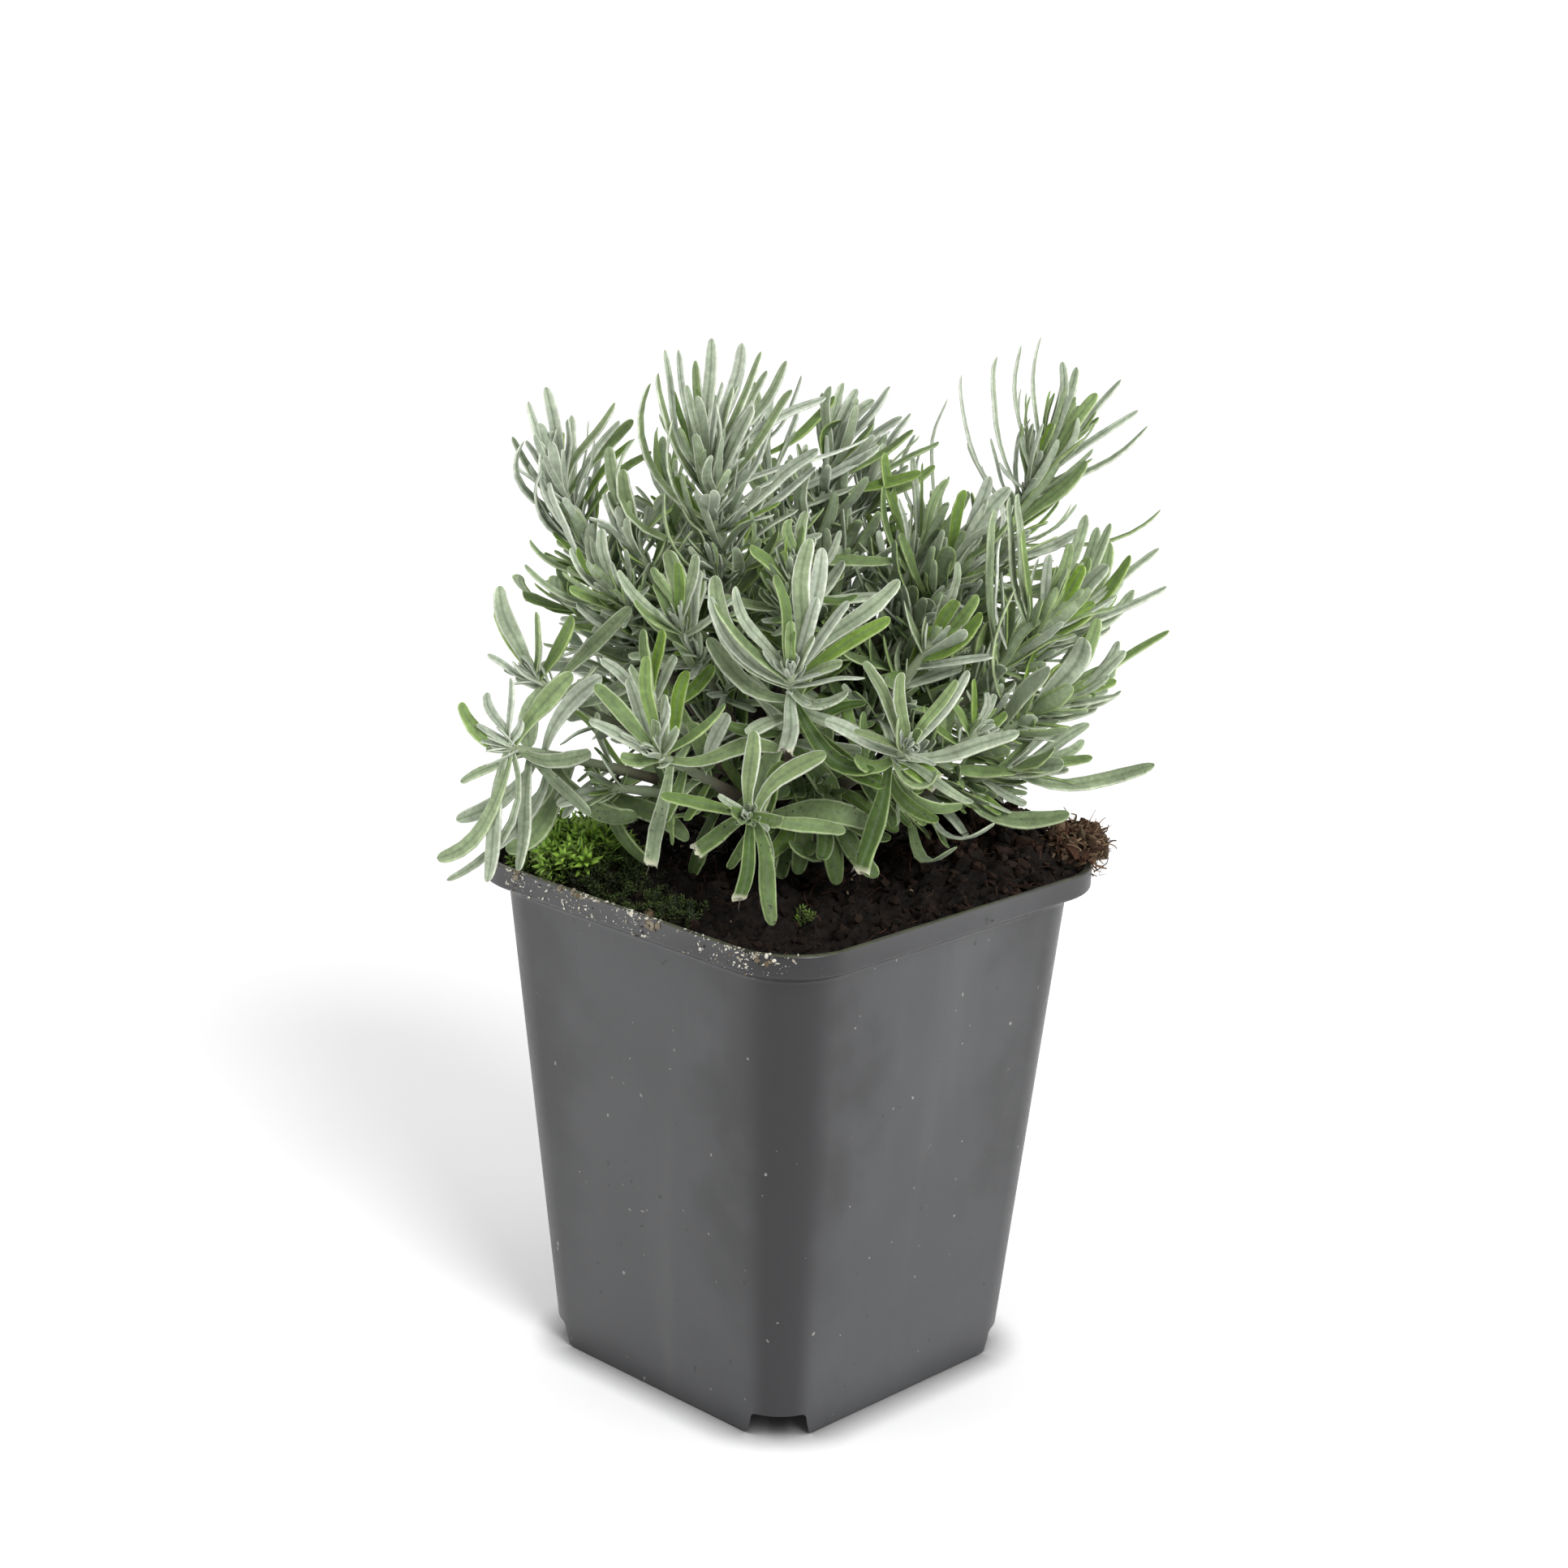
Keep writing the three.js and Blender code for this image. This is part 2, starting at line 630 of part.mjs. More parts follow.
// A closed solid through rings of equal length, with a flat fan at each end
function loft(rings) {
  const count = rings[0].length;
  const points = rings.flat();
  const faces = [];
  for (let r = 0; r + 1 < rings.length; r += 1) {
    for (let i = 0; i < count; i += 1) {
      const a = r * count + i;
      const b = r * count + ((i + 1) % count);
      faces.push([a, b, b + count], [a, b + count, a + count]);
    }
  }
  const last = (rings.length - 1) * count;
  for (let i = 1; i + 1 < count; i += 1) {
    faces.push([0, i + 1, i], [last, last + i, last + i + 1]);
  }
  return solidOf(points, faces);
}

function roundedSquare(half, round, height, share = 1) {
  const ring = [];
  for (let corner = 0; corner < 4; corner += 1) {
    for (let step = 0; step <= CORNER_STEPS; step += 1) {
      const angle = (corner + step / CORNER_STEPS) * (Math.PI / 2);
      const middle = Math.PI / 4 + corner * (Math.PI / 2);
      const reach = (half - round) * Math.SQRT2;
      const x = (Math.cos(middle) * reach + Math.cos(angle) * round) * share;
      const y = (Math.sin(middle) * reach + Math.sin(angle) * round) * share;
      ring.push(new THREE.Vector3(x, y, height(x, y)));
    }
  }
  return ring;
}

// Pot: a thin shell with a stepped collar, notched corners and drain holes
const SHOULDER = POT_HEIGHT - COLLAR_HEIGHT;

function potRings(inset, foot, top) {
  const rimHalf = RIM_HALF - inset;
  const rimRound = RIM_ROUND - inset;
  return [
    roundedSquare(FOOT_HALF - inset, FOOT_ROUND - inset, () => foot),
    roundedSquare(BODY_TOP_HALF - inset, BODY_TOP_ROUND - inset, () => SHOULDER - SHOULDER_RISE + inset),
    roundedSquare(rimHalf, rimRound, () => SHOULDER + inset),
    roundedSquare(rimHalf, rimRound, () => top),
  ];
}

// A bar with sloping sides along the diagonal to one corner, from inner to outer
function cornerBar(corner, halfFoot, halfTop, bottom, top, inner, outer) {
  const section = new THREE.Shape([
    new THREE.Vector2(-halfFoot, bottom),
    new THREE.Vector2(halfFoot, bottom),
    new THREE.Vector2(halfTop, top),
    new THREE.Vector2(-halfTop, top),
  ]);
  const bar = new THREE.ExtrudeGeometry(section, { depth: outer - inner, bevelEnabled: false });
  bar.translate(0, 0, inner);
  bar.rotateX(Math.PI / 2);
  bar.rotateZ(Math.PI / 4 + (corner * Math.PI) / 2 + Math.PI / 2);
  return solidFrom(bar);
}

function drainHole(corner) {
  const hole = new THREE.CylinderGeometry(DRAIN_RADIUS, DRAIN_RADIUS, WALL * 4, DRAIN_SIDES);
  hole.rotateX(Math.PI / 2);
  hole.translate(DRAIN_REACH, 0, NOTCH_HEIGHT + WALL / 2);
  hole.rotateZ(Math.PI / 4 + (corner * Math.PI) / 2);
  return solidFrom(hole);
}

function buildPot() {
  const envelope = loft(potRings(0, 0, POT_HEIGHT));
  let pot = envelope.subtract(loft(potRings(WALL, WALL, POT_HEIGHT + WALL)));
  for (let corner = 0; corner < 4; corner += 1) {
    const box = cornerBar(corner, NOTCH_HALF_FOOT + WALL, NOTCH_HALF_TOP + WALL, WALL / 2,
      NOTCH_HEIGHT + WALL, NOTCH_INNER - WALL, NOTCH_OUTER);
    pot = pot.add(box.intersect(envelope));
  }
  for (let corner = 0; corner < 4; corner += 1) {
    const flare = ((NOTCH_HALF_FOOT - NOTCH_HALF_TOP) / NOTCH_HEIGHT) * CUTTER_PAST;
    pot = pot.subtract(cornerBar(corner, NOTCH_HALF_FOOT + flare, NOTCH_HALF_TOP, -CUTTER_PAST,
      NOTCH_HEIGHT, NOTCH_INNER, NOTCH_OUTER));
    pot = pot.subtract(drainHole(corner));
  }
  return pot;
}

// Soil: fills the pot, with a rough top, a heap and a clump of coir over the rim
function bump(x, y, centre, spread) {
  const dx = x - centre.x;
  const dy = y - centre.y;
  return Math.exp(-(dx * dx + dy * dy) / (2 * spread * spread));
}

function soilTop(x, y) {
  const heap = place(...HEAP_PLACE, 0);
  const wave = Math.sin(x * SOIL_WAVE[0] + SOIL_RIPPLE[1]) * Math.cos(y * SOIL_WAVE[1]);
  const rough = wave + SOIL_RIPPLE_SHARE * Math.sin(x * SOIL_RIPPLE[0] - y * SOIL_RIPPLE[1]);
  const middle = 1 - Math.max(Math.abs(x), Math.abs(y)) / RIM_HALF;
  const slope = Math.min(1, HEAP_AT_WALL + middle * HEAP_FADE);
  const raised = HEAP_HEIGHT * bump(x, y, heap, HEAP_SPREAD) * slope;
  return SOIL_LEVEL + raised + SOIL_RELIEF * rough * Math.min(1, middle * RELIEF_FADE);
}

function buildSoil() {
  const inset = WALL + GAP;
  const rings = potRings(inset, inset, SOIL_LEVEL - SOIL_EDGE_DROP);
  for (let ring = 0; ring < SOIL_RINGS; ring += 1) {
    const share = (1 - ring / SOIL_RINGS) * SOIL_REACH;
    rings.push(roundedSquare(RIM_HALF - inset, RIM_ROUND - inset, soilTop, share));
  }
  let soil = loft(rings);
  for (let corner = 0; corner < 4; corner += 1) {
    soil = soil.subtract(cornerBar(corner, NOTCH_HALF_FOOT + inset, NOTCH_HALF_TOP + inset, 0,
      NOTCH_HEIGHT + inset, NOTCH_INNER - inset, NOTCH_OUTER));
  }
  return soil.add(buildClump());
}

function buildClump() {
  const clump = new THREE.IcosahedronGeometry(1, 1);
  const centre = place(...CLUMP_PLACE);
  const positions = clump.attributes.position;
  for (let i = 0; i < positions.count; i += 1) {
    const p = new THREE.Vector3().fromBufferAttribute(positions, i);
    const [wx, wy, wz] = CLUMP_WAVE;
    const rough = Math.sin(p.x * wx + p.z * wz) * Math.cos(p.y * wy - p.z * wz);
    p.multiply(new THREE.Vector3(...CLUMP_SIZE)).multiplyScalar(1 + CLUMP_ROUGH * rough);
    p.applyAxisAngle(UP, CORNER_TURN).add(centre);
    p.z = Math.max(p.z, POT_HEIGHT + GAP);
    positions.setXYZ(i, p.x, p.y, p.z);
  }
  return solidFrom(clump);
}

// Moss: a cushion whose top is raised in spikes, cut to lie on the soil
function buildMoss(soil) {
  const random = draws(MOSS_SEED);
  const rings = [];
  for (let ring = 0; ring < MOSS_RINGS; ring += 1) {
    const share = 1 - ring / MOSS_RINGS;
    const row = [];
    for (let spoke = 0; spoke < MOSS_SPOKES; spoke += 1) {
      const angle = ((spoke + (ring % 2) * 0.5) / MOSS_SPOKES) * Math.PI * 2;
      const x = MOSS_PLACE[0] + Math.cos(angle) * MOSS_SIZE[0] * share;
      const y = MOSS_PLACE[1] + Math.sin(angle) * MOSS_SIZE[1] * share;
      const raised = ring > 0 && (spoke + ring) % 2 === 0;
      const spike = raised ? MOSS_SPIKE * between(MOSS_SPIKE_SHARES, random()) : 0;
      const crown = MOSS_HEIGHT * Math.sqrt(1 - share * share);
      row.push(new THREE.Vector3(x, y, SOIL_LEVEL - MOSS_SINK + crown + spike));
    }
    rings.push(row);
  }
  const foot = rings[0].map((p) => new THREE.Vector3(p.x, p.y, SOIL_LEVEL - MOSS_ROOT));
  return mainBody(loft([foot, ...rings]).subtract(soil.translate([0, 0, GAP])));
}

// Stems: a curve from the hub over its bend to the crown
function stemCurve(shoot) {
  const foot = place(...HUB);
  const tip = place(...shoot.tip);
  const bend = new THREE.Vector3().lerpVectors(foot, tip, 0.5);
  bend.z = foot.z + (tip.z - foot.z) * shoot.lift;
  bend.x += (tip.x - foot.x) * (0.5 - shoot.lift);
  bend.y += (tip.y - foot.y) * (0.5 - shoot.lift);
  return new THREE.QuadraticBezierCurve3(foot, bend, tip);
}

// A tube along part of a curve, its section turning with the curve
function tube(curve, from, to, sections, sides, radiusFrom, radiusTo) {
  const rings = [];
  let across = new THREE.Vector3(1, 0.3, 0.2);
  for (let i = 0; i <= sections; i += 1) {
    const at = from + ((to - from) * i) / sections;
    const centre = curve.getPoint(at);
    const along = curve.getTangent(at);
    across = across.addScaledVector(along, -across.dot(along)).normalize();
    const other = new THREE.Vector3().crossVectors(along, across);
    const radius = radiusFrom + ((radiusTo - radiusFrom) * i) / sections;
    const ring = [];
    for (let k = 0; k < sides; k += 1) {
      const angle = (k / sides) * Math.PI * 2;
      const p = centre.clone();
      p.addScaledVector(across, Math.cos(angle) * radius);
      p.addScaledVector(other, Math.sin(angle) * radius);
      ring.push(p);
    }
    rings.push(ring);
  }
  return loft(rings);
}

function buildWood(shoots) {
  const foot = place(...HUB);
  const footRadius = TRUNK_RADIUS * TRUNK_FOOT_SHARE;
  const trunk = new THREE.CylinderGeometry(TRUNK_RADIUS, footRadius, foot.z - TRUNK_FOOT, TRUNK_SIDES);
  trunk.rotateX(Math.PI / 2);
  trunk.translate(foot.x, foot.y, (foot.z + TRUNK_FOOT) / 2);
  const knot = new THREE.IcosahedronGeometry(KNOT_RADIUS, 0);
  knot.translate(foot.x, foot.y, foot.z);
  let wood = solidFrom(trunk).add(solidFrom(knot));
  for (const shoot of shoots) {
    wood = wood.add(tube(stemCurve(shoot), 0, shoot.wood, BOUGH_SECTIONS, BOUGH_SIDES,
      BOUGH_FOOT_RADIUS, BOUGH_RADIUS));
  }
  return wood;
}

function trunkHole() {
  const foot = place(...HUB);
  const depth = POT_HEIGHT + HEAP_HEIGHT - TRUNK_FOOT + GAP;
  const radius = TRUNK_RADIUS + GAP;
  const hole = new THREE.CylinderGeometry(radius, radius, depth, TRUNK_SIDES * 2);
  hole.rotateX(Math.PI / 2);
  hole.translate(foot.x, foot.y, TRUNK_FOOT - GAP + depth / 2);
  return solidFrom(hole);
}

// Leaves. Each is an arc: it starts along `start` and turns by `turn` about `axis`
function posedAim(clock, front, rise) {
  const c = radians(clock);
  const f = radians(front);
  const chord = place(Math.sin(c) * Math.cos(f), -Math.sin(f), Math.cos(c) * Math.cos(f));
  const axis = new THREE.Vector3().crossVectors(chord, UP);
  if (axis.length() < STEEP) axis.copy(place(0, 1, 0));
  axis.normalize();
  const turn = radians(rise);
  return { start: chord.applyAxisAngle(axis, -turn / 2), axis, turn };
}

function grownAim(along, across, azimuth, open, bend) {
  const out = across.clone().applyAxisAngle(along, radians(azimuth));
  const axis = new THREE.Vector3().crossVectors(along, out).normalize();
  return { start: along.clone().applyAxisAngle(axis, radians(open)), axis, turn: radians(bend) };
}

// Every leaf of a shoot with its foot, its draws and the way it is aimed when swung and tilted
function shootLeaves(shoot, seed) {
  const curve = stemCurve(shoot);
  const leaves = [];
  const share = (at) => shoot.wood + (1 - shoot.wood) * at;
  for (const [at, clock, front, length, rise, width, look] of shoot.posed ?? []) {
    const aim = (swing, tilt) => posedAim(clock + swing, front + tilt, rise);
    leaves.push({ at: share(at * CROWN_SEAT), length, width, look, aim, posed: true });
  }
  for (let pair = 0; pair < shoot.pairs; pair += 1) {
    const at = between([FIRST_PAIR, shoot.upto], shoot.pairs > 1 ? pair / (shoot.pairs - 1) : 0);
    for (let k = 0; k < 2; k += 1) {
      const random = draws(seed * 1000 + pair * 2 + k);
      const spin = (random() - 0.5) * TURN_SPREAD;
      const azimuth = seed * SHOOT_TURN + pair * PAIR_TURN + k * 180 + spin;
      const open = between([OPEN_FOOT, OPEN_TIP], at) + (random() - 0.5) * OPEN_SPREAD;
      const bend = shoot.bend * between(BEND_SHARES, random());
      const length = shoot.leaf * between(LENGTH_SHARES, random()) * (1 - TIP_SHORTER * at * at);
      const width = shoot.blade * between(WIDTH_SHARES, random()) * (1 - TIP_NARROWER * at);
      const along = curve.getTangent(share(at));
      const across = new THREE.Vector3(...UNDERSIDE_HINT);
      across.addScaledVector(along, -across.dot(along)).normalize();
      const aim = (swing, tilt) => grownAim(along, across, azimuth + swing, open + tilt, bend);
      leaves.push({ at: share(at), length, width, aim, posed: false });
    }
  }
  return leaves.map((leaf) => ({
    ...leaf,
    foot: curve.getPoint(leaf.at),
    stemWay: curve.getTangent(leaf.at),
  }));
}

// Place and directions on a leaf's arc at share s of its length
function onArc(leaf, aim, length, s) {
  const angle = aim.turn * s;
  const side = new THREE.Vector3().crossVectors(aim.axis, aim.start);
  const run = aim.turn === 0 ? s : Math.sin(angle) / aim.turn;
  const rise = aim.turn === 0 ? 0 : (1 - Math.cos(angle)) / aim.turn;
  const point = leaf.foot.clone().addScaledVector(aim.start, run * length);
  point.addScaledVector(side, rise * length);
  const along = aim.start.clone().applyAxisAngle(aim.axis, angle);
  const face = leaf.posed ? place(...FACING).add(leaf.stemWay) : leaf.stemWay.clone();
  face.addScaledVector(aim.start, -face.dot(aim.start));
  const upper = face.normalize().applyAxisAngle(aim.axis, angle);
  upper.addScaledVector(along, -upper.dot(along)).normalize();
  const across = new THREE.Vector3().crossVectors(along, upper);
  return { point, along, upper, across };
}

// A blade with a flat face and a keel below it. `grow` swells it, `from` leaves out its foot
function blade(leaf, aim, length, grow = 0, from = 0) {
  const plain = leaf.length < PLAIN_LENGTH && Math.abs(aim.turn) < PLAIN_TURN;
  const shape = plain ? PLAIN_STATIONS : STATIONS;
  const stations = shape.map(([s, share]) => [Math.max(s, from), share]);
  const cut = leaf.look === 'cut';
  if (cut) stations.push([1, CUT_WIDTH]);
  const rings = stations.map(([s, share]) => {
    const { point, upper, across } = onArc(leaf, aim, length, s);
    const half = (leaf.width / 2) * share + grow;
    const top = point.clone().addScaledVector(upper, grow);
    return [
      top.clone().addScaledVector(across, -half),
      top.clone().addScaledVector(across, half),
      point.clone().addScaledVector(upper, -KEEL * between([KEEL_LEAST, 1], share) - grow),
    ];
  });
  const points = rings.flat();
  const faces = [[0, 2, 1]];
  for (let r = 0; r + 1 < rings.length; r += 1) {
    for (let i = 0; i < 3; i += 1) {
      const a = r * 3 + i;
      const b = r * 3 + ((i + 1) % 3);
      faces.push([a, b, b + 3], [a, b + 3, a + 3]);
    }
  }
  const last = (rings.length - 1) * 3;
  if (cut) {
    faces.push([last, last + 1, last + 2]);
  } else {
    const { point, upper } = onArc(leaf, aim, length + grow, 1);
    points.push(point.addScaledVector(upper, -TIP_DROP));
    for (let i = 0; i < 3; i += 1) faces.push([last + i, last + ((i + 1) % 3), last + 3]);
  }
  return { solid: solidOf(points, faces), box: new THREE.Box3().setFromPoints(points) };
}

function overlaps(piece, other) {
  return piece.box.intersectsBox(other.box) && !piece.solid.intersect(other.solid).isEmpty();
}

function boxed(solid) {
  const { min, max } = solid.boundingBox();
  return { solid, box: new THREE.Box3(new THREE.Vector3(...min), new THREE.Vector3(...max)) };
}

// The first way to set a leaf in which it clears all other pieces, or null
function settle(leaf, others, siblings) {
  for (const shorter of LENGTH_TRIES) {
    for (const tilt of TILT_TRIES) {
      for (const swing of SWING_TRIES) {
        const aim = leaf.aim(swing, tilt);
        const length = leaf.length * shorter;
        const swollen = blade(leaf, aim, length, CLEAR);
        if (others.some((other) => overlaps(swollen, other))) continue;
        const free = blade(leaf, aim, length, 0, FREE_FROM);
        if (siblings.some((other) => overlaps(free, other))) continue;
        return { whole: blade(leaf, aim, length), free };
      }
    }
  }
  return null;
}

// Shoots: stems first, then the leaves seen one by one, then the others
function buildShoots(shoots, fixed) {
  const built = shoots.map((shoot, index) => {
    const curve = stemCurve(shoot);
    const start = shoot.wood + GAP / curve.getLength();
    const stem = tube(curve, start, 1, STEM_SECTIONS, STEM_SIDES, STEM_RADIUS, STEM_TIP_RADIUS);
    const leaves = shootLeaves(shoot, index + 1);
    return { name: shoot.name, stem: boxed(stem), leaves, whole: [], free: [] };
  });
  for (const posed of [true, false]) {
    for (const shoot of built) {
      const strangers = built.filter((other) => other !== shoot);
      for (const leaf of shoot.leaves.filter((one) => one.posed === posed)) {
        const others = [...fixed, ...strangers.flatMap((other) => [other.stem, ...other.whole])];
        const set = settle(leaf, others, shoot.free);
        if (!set) continue;
        shoot.whole.push(set.whole);
        shoot.free.push(set.free);
      }
    }
  }
  return built.map((shoot) => {
    const solid = shoot.whole.reduce((sum, leaf) => sum.add(leaf.solid), shoot.stem.solid);
    return { name: shoot.name, solid: mainBody(solid) };
  });
}

// The whole object
const potSolid = buildPot();
const soilSolid = mainBody(buildSoil().subtract(trunkHole()));
const mossSolid = buildMoss(soilSolid);
const allShoots = [...SHOOTS, ...WITHERED];
const woodSolid = buildWood(allShoots);
const fixedPieces = [potSolid, soilSolid, mossSolid, woodSolid].map(boxed);
const shootSolids = buildShoots(allShoots, fixedPieces);

function mesh(name, solid, look) {
  const piece = new THREE.Mesh(geometryFrom(solid), look);
  piece.name = name;
  return piece;
}

const holder = new THREE.Group();
holder.add(mesh('pot', potSolid, material(0x636466, 0.5)));
holder.add(mesh('soil', soilSolid, material(0x231a14, 0.95)));
holder.add(mesh('moss', mossSolid, material(0x4c6326, 0.9)));

const plant = new THREE.Group();
plant.add(mesh('woody_stem', woodSolid, material(0x5a4634, 0.85)));
const withered = new Set(WITHERED.map((tuft) => tuft.name));
for (const { name, solid } of shootSolids) {
  const look = withered.has(name) ? material(0x3b2c20, 0.9) : material(0x8d9f84, 0.75);
  plant.add(mesh(name, solid, look));
}

const pottedLavender = new THREE.Group();
pottedLavender.add(holder, plant);

export default pottedLavender;
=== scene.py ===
# A young lavender in a square nursery pot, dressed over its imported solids.
# Sizes are in millimetres until a mesh is made. +Z is up and the pot's sides lie along X and Y.
# Plant places are given in the corner frame: x to the right, y to the back and z up, seen
# with one corner of the pot in front. It is the pot's own frame turned by CORNER_TURN.
import math
import random
from collections import namedtuple

import bpy
import numpy as np
from mathutils import Matrix, Quaternion, Vector, kdtree, noise

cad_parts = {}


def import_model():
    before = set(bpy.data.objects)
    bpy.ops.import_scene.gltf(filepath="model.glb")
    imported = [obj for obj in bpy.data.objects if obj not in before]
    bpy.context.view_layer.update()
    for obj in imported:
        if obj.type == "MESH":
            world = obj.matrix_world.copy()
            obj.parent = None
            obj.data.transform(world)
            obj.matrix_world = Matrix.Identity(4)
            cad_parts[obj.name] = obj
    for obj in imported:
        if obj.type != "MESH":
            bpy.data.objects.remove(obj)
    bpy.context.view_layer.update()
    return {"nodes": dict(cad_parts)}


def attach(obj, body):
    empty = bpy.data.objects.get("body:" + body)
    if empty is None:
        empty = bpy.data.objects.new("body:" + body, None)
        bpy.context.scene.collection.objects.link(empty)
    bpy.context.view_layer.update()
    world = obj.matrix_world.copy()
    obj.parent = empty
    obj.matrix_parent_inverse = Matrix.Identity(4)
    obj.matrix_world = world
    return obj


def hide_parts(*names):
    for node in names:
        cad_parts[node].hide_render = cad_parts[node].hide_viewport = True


MM = 0.001
CORNER_TURN = math.pi / 4
UP = Vector((0, 0, 1))

# Camera, worked out from the pot's corners
CAMERA_TARGET = (-0.856, -0.856, 114.48)
CAMERA_DISTANCE = 598.65
CAMERA_AZIMUTH = 44.12
CAMERA_ELEVATION = 16.23
CAMERA_ROLL = 1.40
CAMERA_LENS = 72.75
SENSOR = 36

# Light
WORLD_STRENGTH = 0.70
FRONT_SHARE = 0.25
FRONT_FADE = (0.45, 0.95)
SUN_STRENGTH = 2.5
SUN_ANGLE = 26
SUN_AZIMUTH = 76
SUN_ELEVATION = 34
SUN_DISTANCE = 1000
LIGHT_HEIGHT = 90
FLOOR_HALF = 20000
FLOOR_COLOUR = (0.88, 0.88, 0.88)
FLOOR_GLOW = 0.14
# Reach in millimetres and steepness of the painted contact shadow round the pot's foot
FLOOR_SHADOW_REACH = 8
FLOOR_SHADOW_DEPTH = 2
CARDS = [(-40, 12, 0.8), (130, 12, 0.6)]
CARD_SIZE = 420
CARD_DISTANCE = 520

# Pot
POT_HEIGHT = 100.2
RIM_HALF = 45
RIM_ROUND = 14.3
BODY_TOP_HALF = 41
BODY_TOP_ROUND = 12
FOOT_HALF = 33
FOOT_ROUND = 9.4
COLLAR_HEIGHT = 4.2
SHOULDER_RISE = 2.1
SHOULDER = POT_HEIGHT - COLLAR_HEIGHT
BODY_TOP = SHOULDER - SHOULDER_RISE
WALL = 1.2
SHELL_ROUNDINGS = (0.6, 0.9, 0.5, 0.45, 0.3, 0.8, 1, 2)
CORNER_STEPS = 14
POT_RING_STEP = 6
NOTCH_HEIGHT = 4.8
NOTCH_OUTLINE = [(6.9, -1), (6.15, 0), (5.7, 0.7), (5.35, 2.6), (5.15, 4.1), (4.85, 4.6), (4.3, 4.8)]
NOTCH_INNER = 33
NOTCH_OUTER = 50
BOX_INSET = 0.3
DRAIN_RADIUS = 2.4
DRAIN_REACH = 37
DRAIN_SIDES = 24
POT_SHARP = 32
CRUMB_SHARP = 40

# Soil with its heap, and the clump of coir at the right-hand corner
SOIL_INSET = 1.5
SOIL_LEVEL = 96.9
SOIL_RELIEF = 1.3
SOIL_WAVE = (0.71, 0.63)
SOIL_RIPPLE = (1.9, 1.3)
SOIL_RIPPLE_SHARE = 0.6
RELIEF_FADE = 4
HEAP_PLACE = (38, 1)
HEAP_HEIGHT = 11.5
HEAP_SPREAD = 11
HEAP_AT_WALL = 0.35
HEAP_FADE = 3
HEAP_CRUMB_LIMIT = 41
HEAP_FIBRE_LIMIT = 42
SOIL_GRID = 104
SOIL_CRUMB = 1.5
SOIL_CRUMB_SCALE = 0.22
SOIL_FLOOR = 6.4
GRAINS = 2500
GRAIN_SIZES = (0.25, 1.25)
GRAIN_REACH = 0.97
HEAP_CRUMBS = 420
CRUMB_SIZES = (0.4, 1.5)
HEAP_CRUMB_RISE = 2.6
FIBRES = 420
FIBRE_REACH = 0.93
FIBRE_LENGTHS = (2, 8)
FIBRE_RADII = (0.05, 0.15)
CLUMP_PLACE = (54.5, 2, 103)
CLUMP_SIZE = (5.8, 6, 4.5)
CLUMP_LOWEST = POT_HEIGHT + 0.4
CLUMP_GRAINS = 560
CLUMP_GRAIN_SIZES = (0.35, 1.5)
CLUMP_FIBRES = 460
CLUMP_FIBRE_LENGTHS = (1.4, 5)
CLUMP_FIBRE_RADII = (0.12, 0.42)

# Moss
MOSS_PLACE = (-25.5, -30.5)
MOSS_SIZE = (13.5, 10.5)
MOSS_HEIGHT = 7
MOSS_RINGS = 12
MOSS_SPOKES = 48
MOSS_SUNK = 2.2
MOSS_REACH = 7.4
MOSS_DEEPEST = 94.6
# Painted shade on the moss: less bright towards the plant, and along the pot's left and front walls
MOSS_OPEN_SIDE = (-14, -26)
MOSS_LEFT_WALL_SHADE = (-32, -38)
MOSS_FRONT_WALL_SHADE = (-38, -42)
MOSS_FRONDS = 240
MOSS_LENGTHS = (3.2, 6.4)
MOSS_BREADTHS = (0.2, 0.32)
MOSS_FERNY_FRONDS = 64
MOSS_FERNY_LENGTHS = (5.5, 9)
MOSS_FERNY_BREADTHS = (0.42, 0.6)
MOSS_BRIGHT_PLACE = (-26.5, -31)
MOSS_BRIGHT_SIZE = (7.8, 5.8)
MOSS_THIN_FRONDS = 130
MOSS_THIN_PLACE = ((-14, 9), -35)
MOSS_THIN_LENGTHS = (1.8, 4.2)
MOSS_TUFT_PLACE = (22.6, -19.1)
MOSS_TUFT_LENGTHS = (1.2, 2.4)
MOSS_TUFT_EVERY = 14
FROND_STALK = 0.55
FROND_ROWS = 3
FROND_SPIRAL = 1.1
FROND_SPACING = 2.4
FROND_CURVE = 0.35
FROND_BELLY = 0.45

# Woody base and stems
HUB = (0, 4, 104.5)
TRUNK_FOOT = 88
TRUNK_RADIUS = 3.6
TRUNK_SIDES = 18
TRUNK_STEPS = 14
TRUNK_LUMPS = 0.9
KNOT_RADIUS = 5.2
KNOT_RINGS = 9
BOUGH_RADII = (1.7, 1.35)
BOUGH_SIDES = 9
BOUGH_STEPS = 12
BOUGH_SWAY = 0.16
STEM_RADII = (1.2, 0.75)
STEM_SIDES = 8
STEM_STEPS = 16
STEM_KNOT = 1.12

# Leaves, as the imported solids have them
KEEL = 1.15
TIP_DROP = KEEL / 3
CUT_WIDTH = 0.82
FACING = (0, -0.9, 0.8)
STEEP = 0.12
OPEN_FOOT = 78
OPEN_TIP = 20
OPEN_SPREAD = 16
PAIR_TURN = 90
TURN_SPREAD = 30
SHOOT_TURN = 47
FIRST_PAIR = 0.1
CROWN_SEAT = 0.985
UNDERSIDE_HINT = Vector((0.3, 0.2, -1))
BEND_SHARES = (0.6, 1.4)
LENGTH_SHARES = (0.8, 1.15)
WIDTH_SHARES = (0.85, 1.15)
TIP_SHORTER = 0.3
TIP_NARROWER = 0.2
LENGTH_TRIES = (1, 0.85, 0.7, 0.55)
SWING_TRIES = (0, 9, -9, 18, -18, 30, -30)
TILT_TRIES = (0, -10, 10, -20, 20)
TIP_TOLERANCE = 0.03

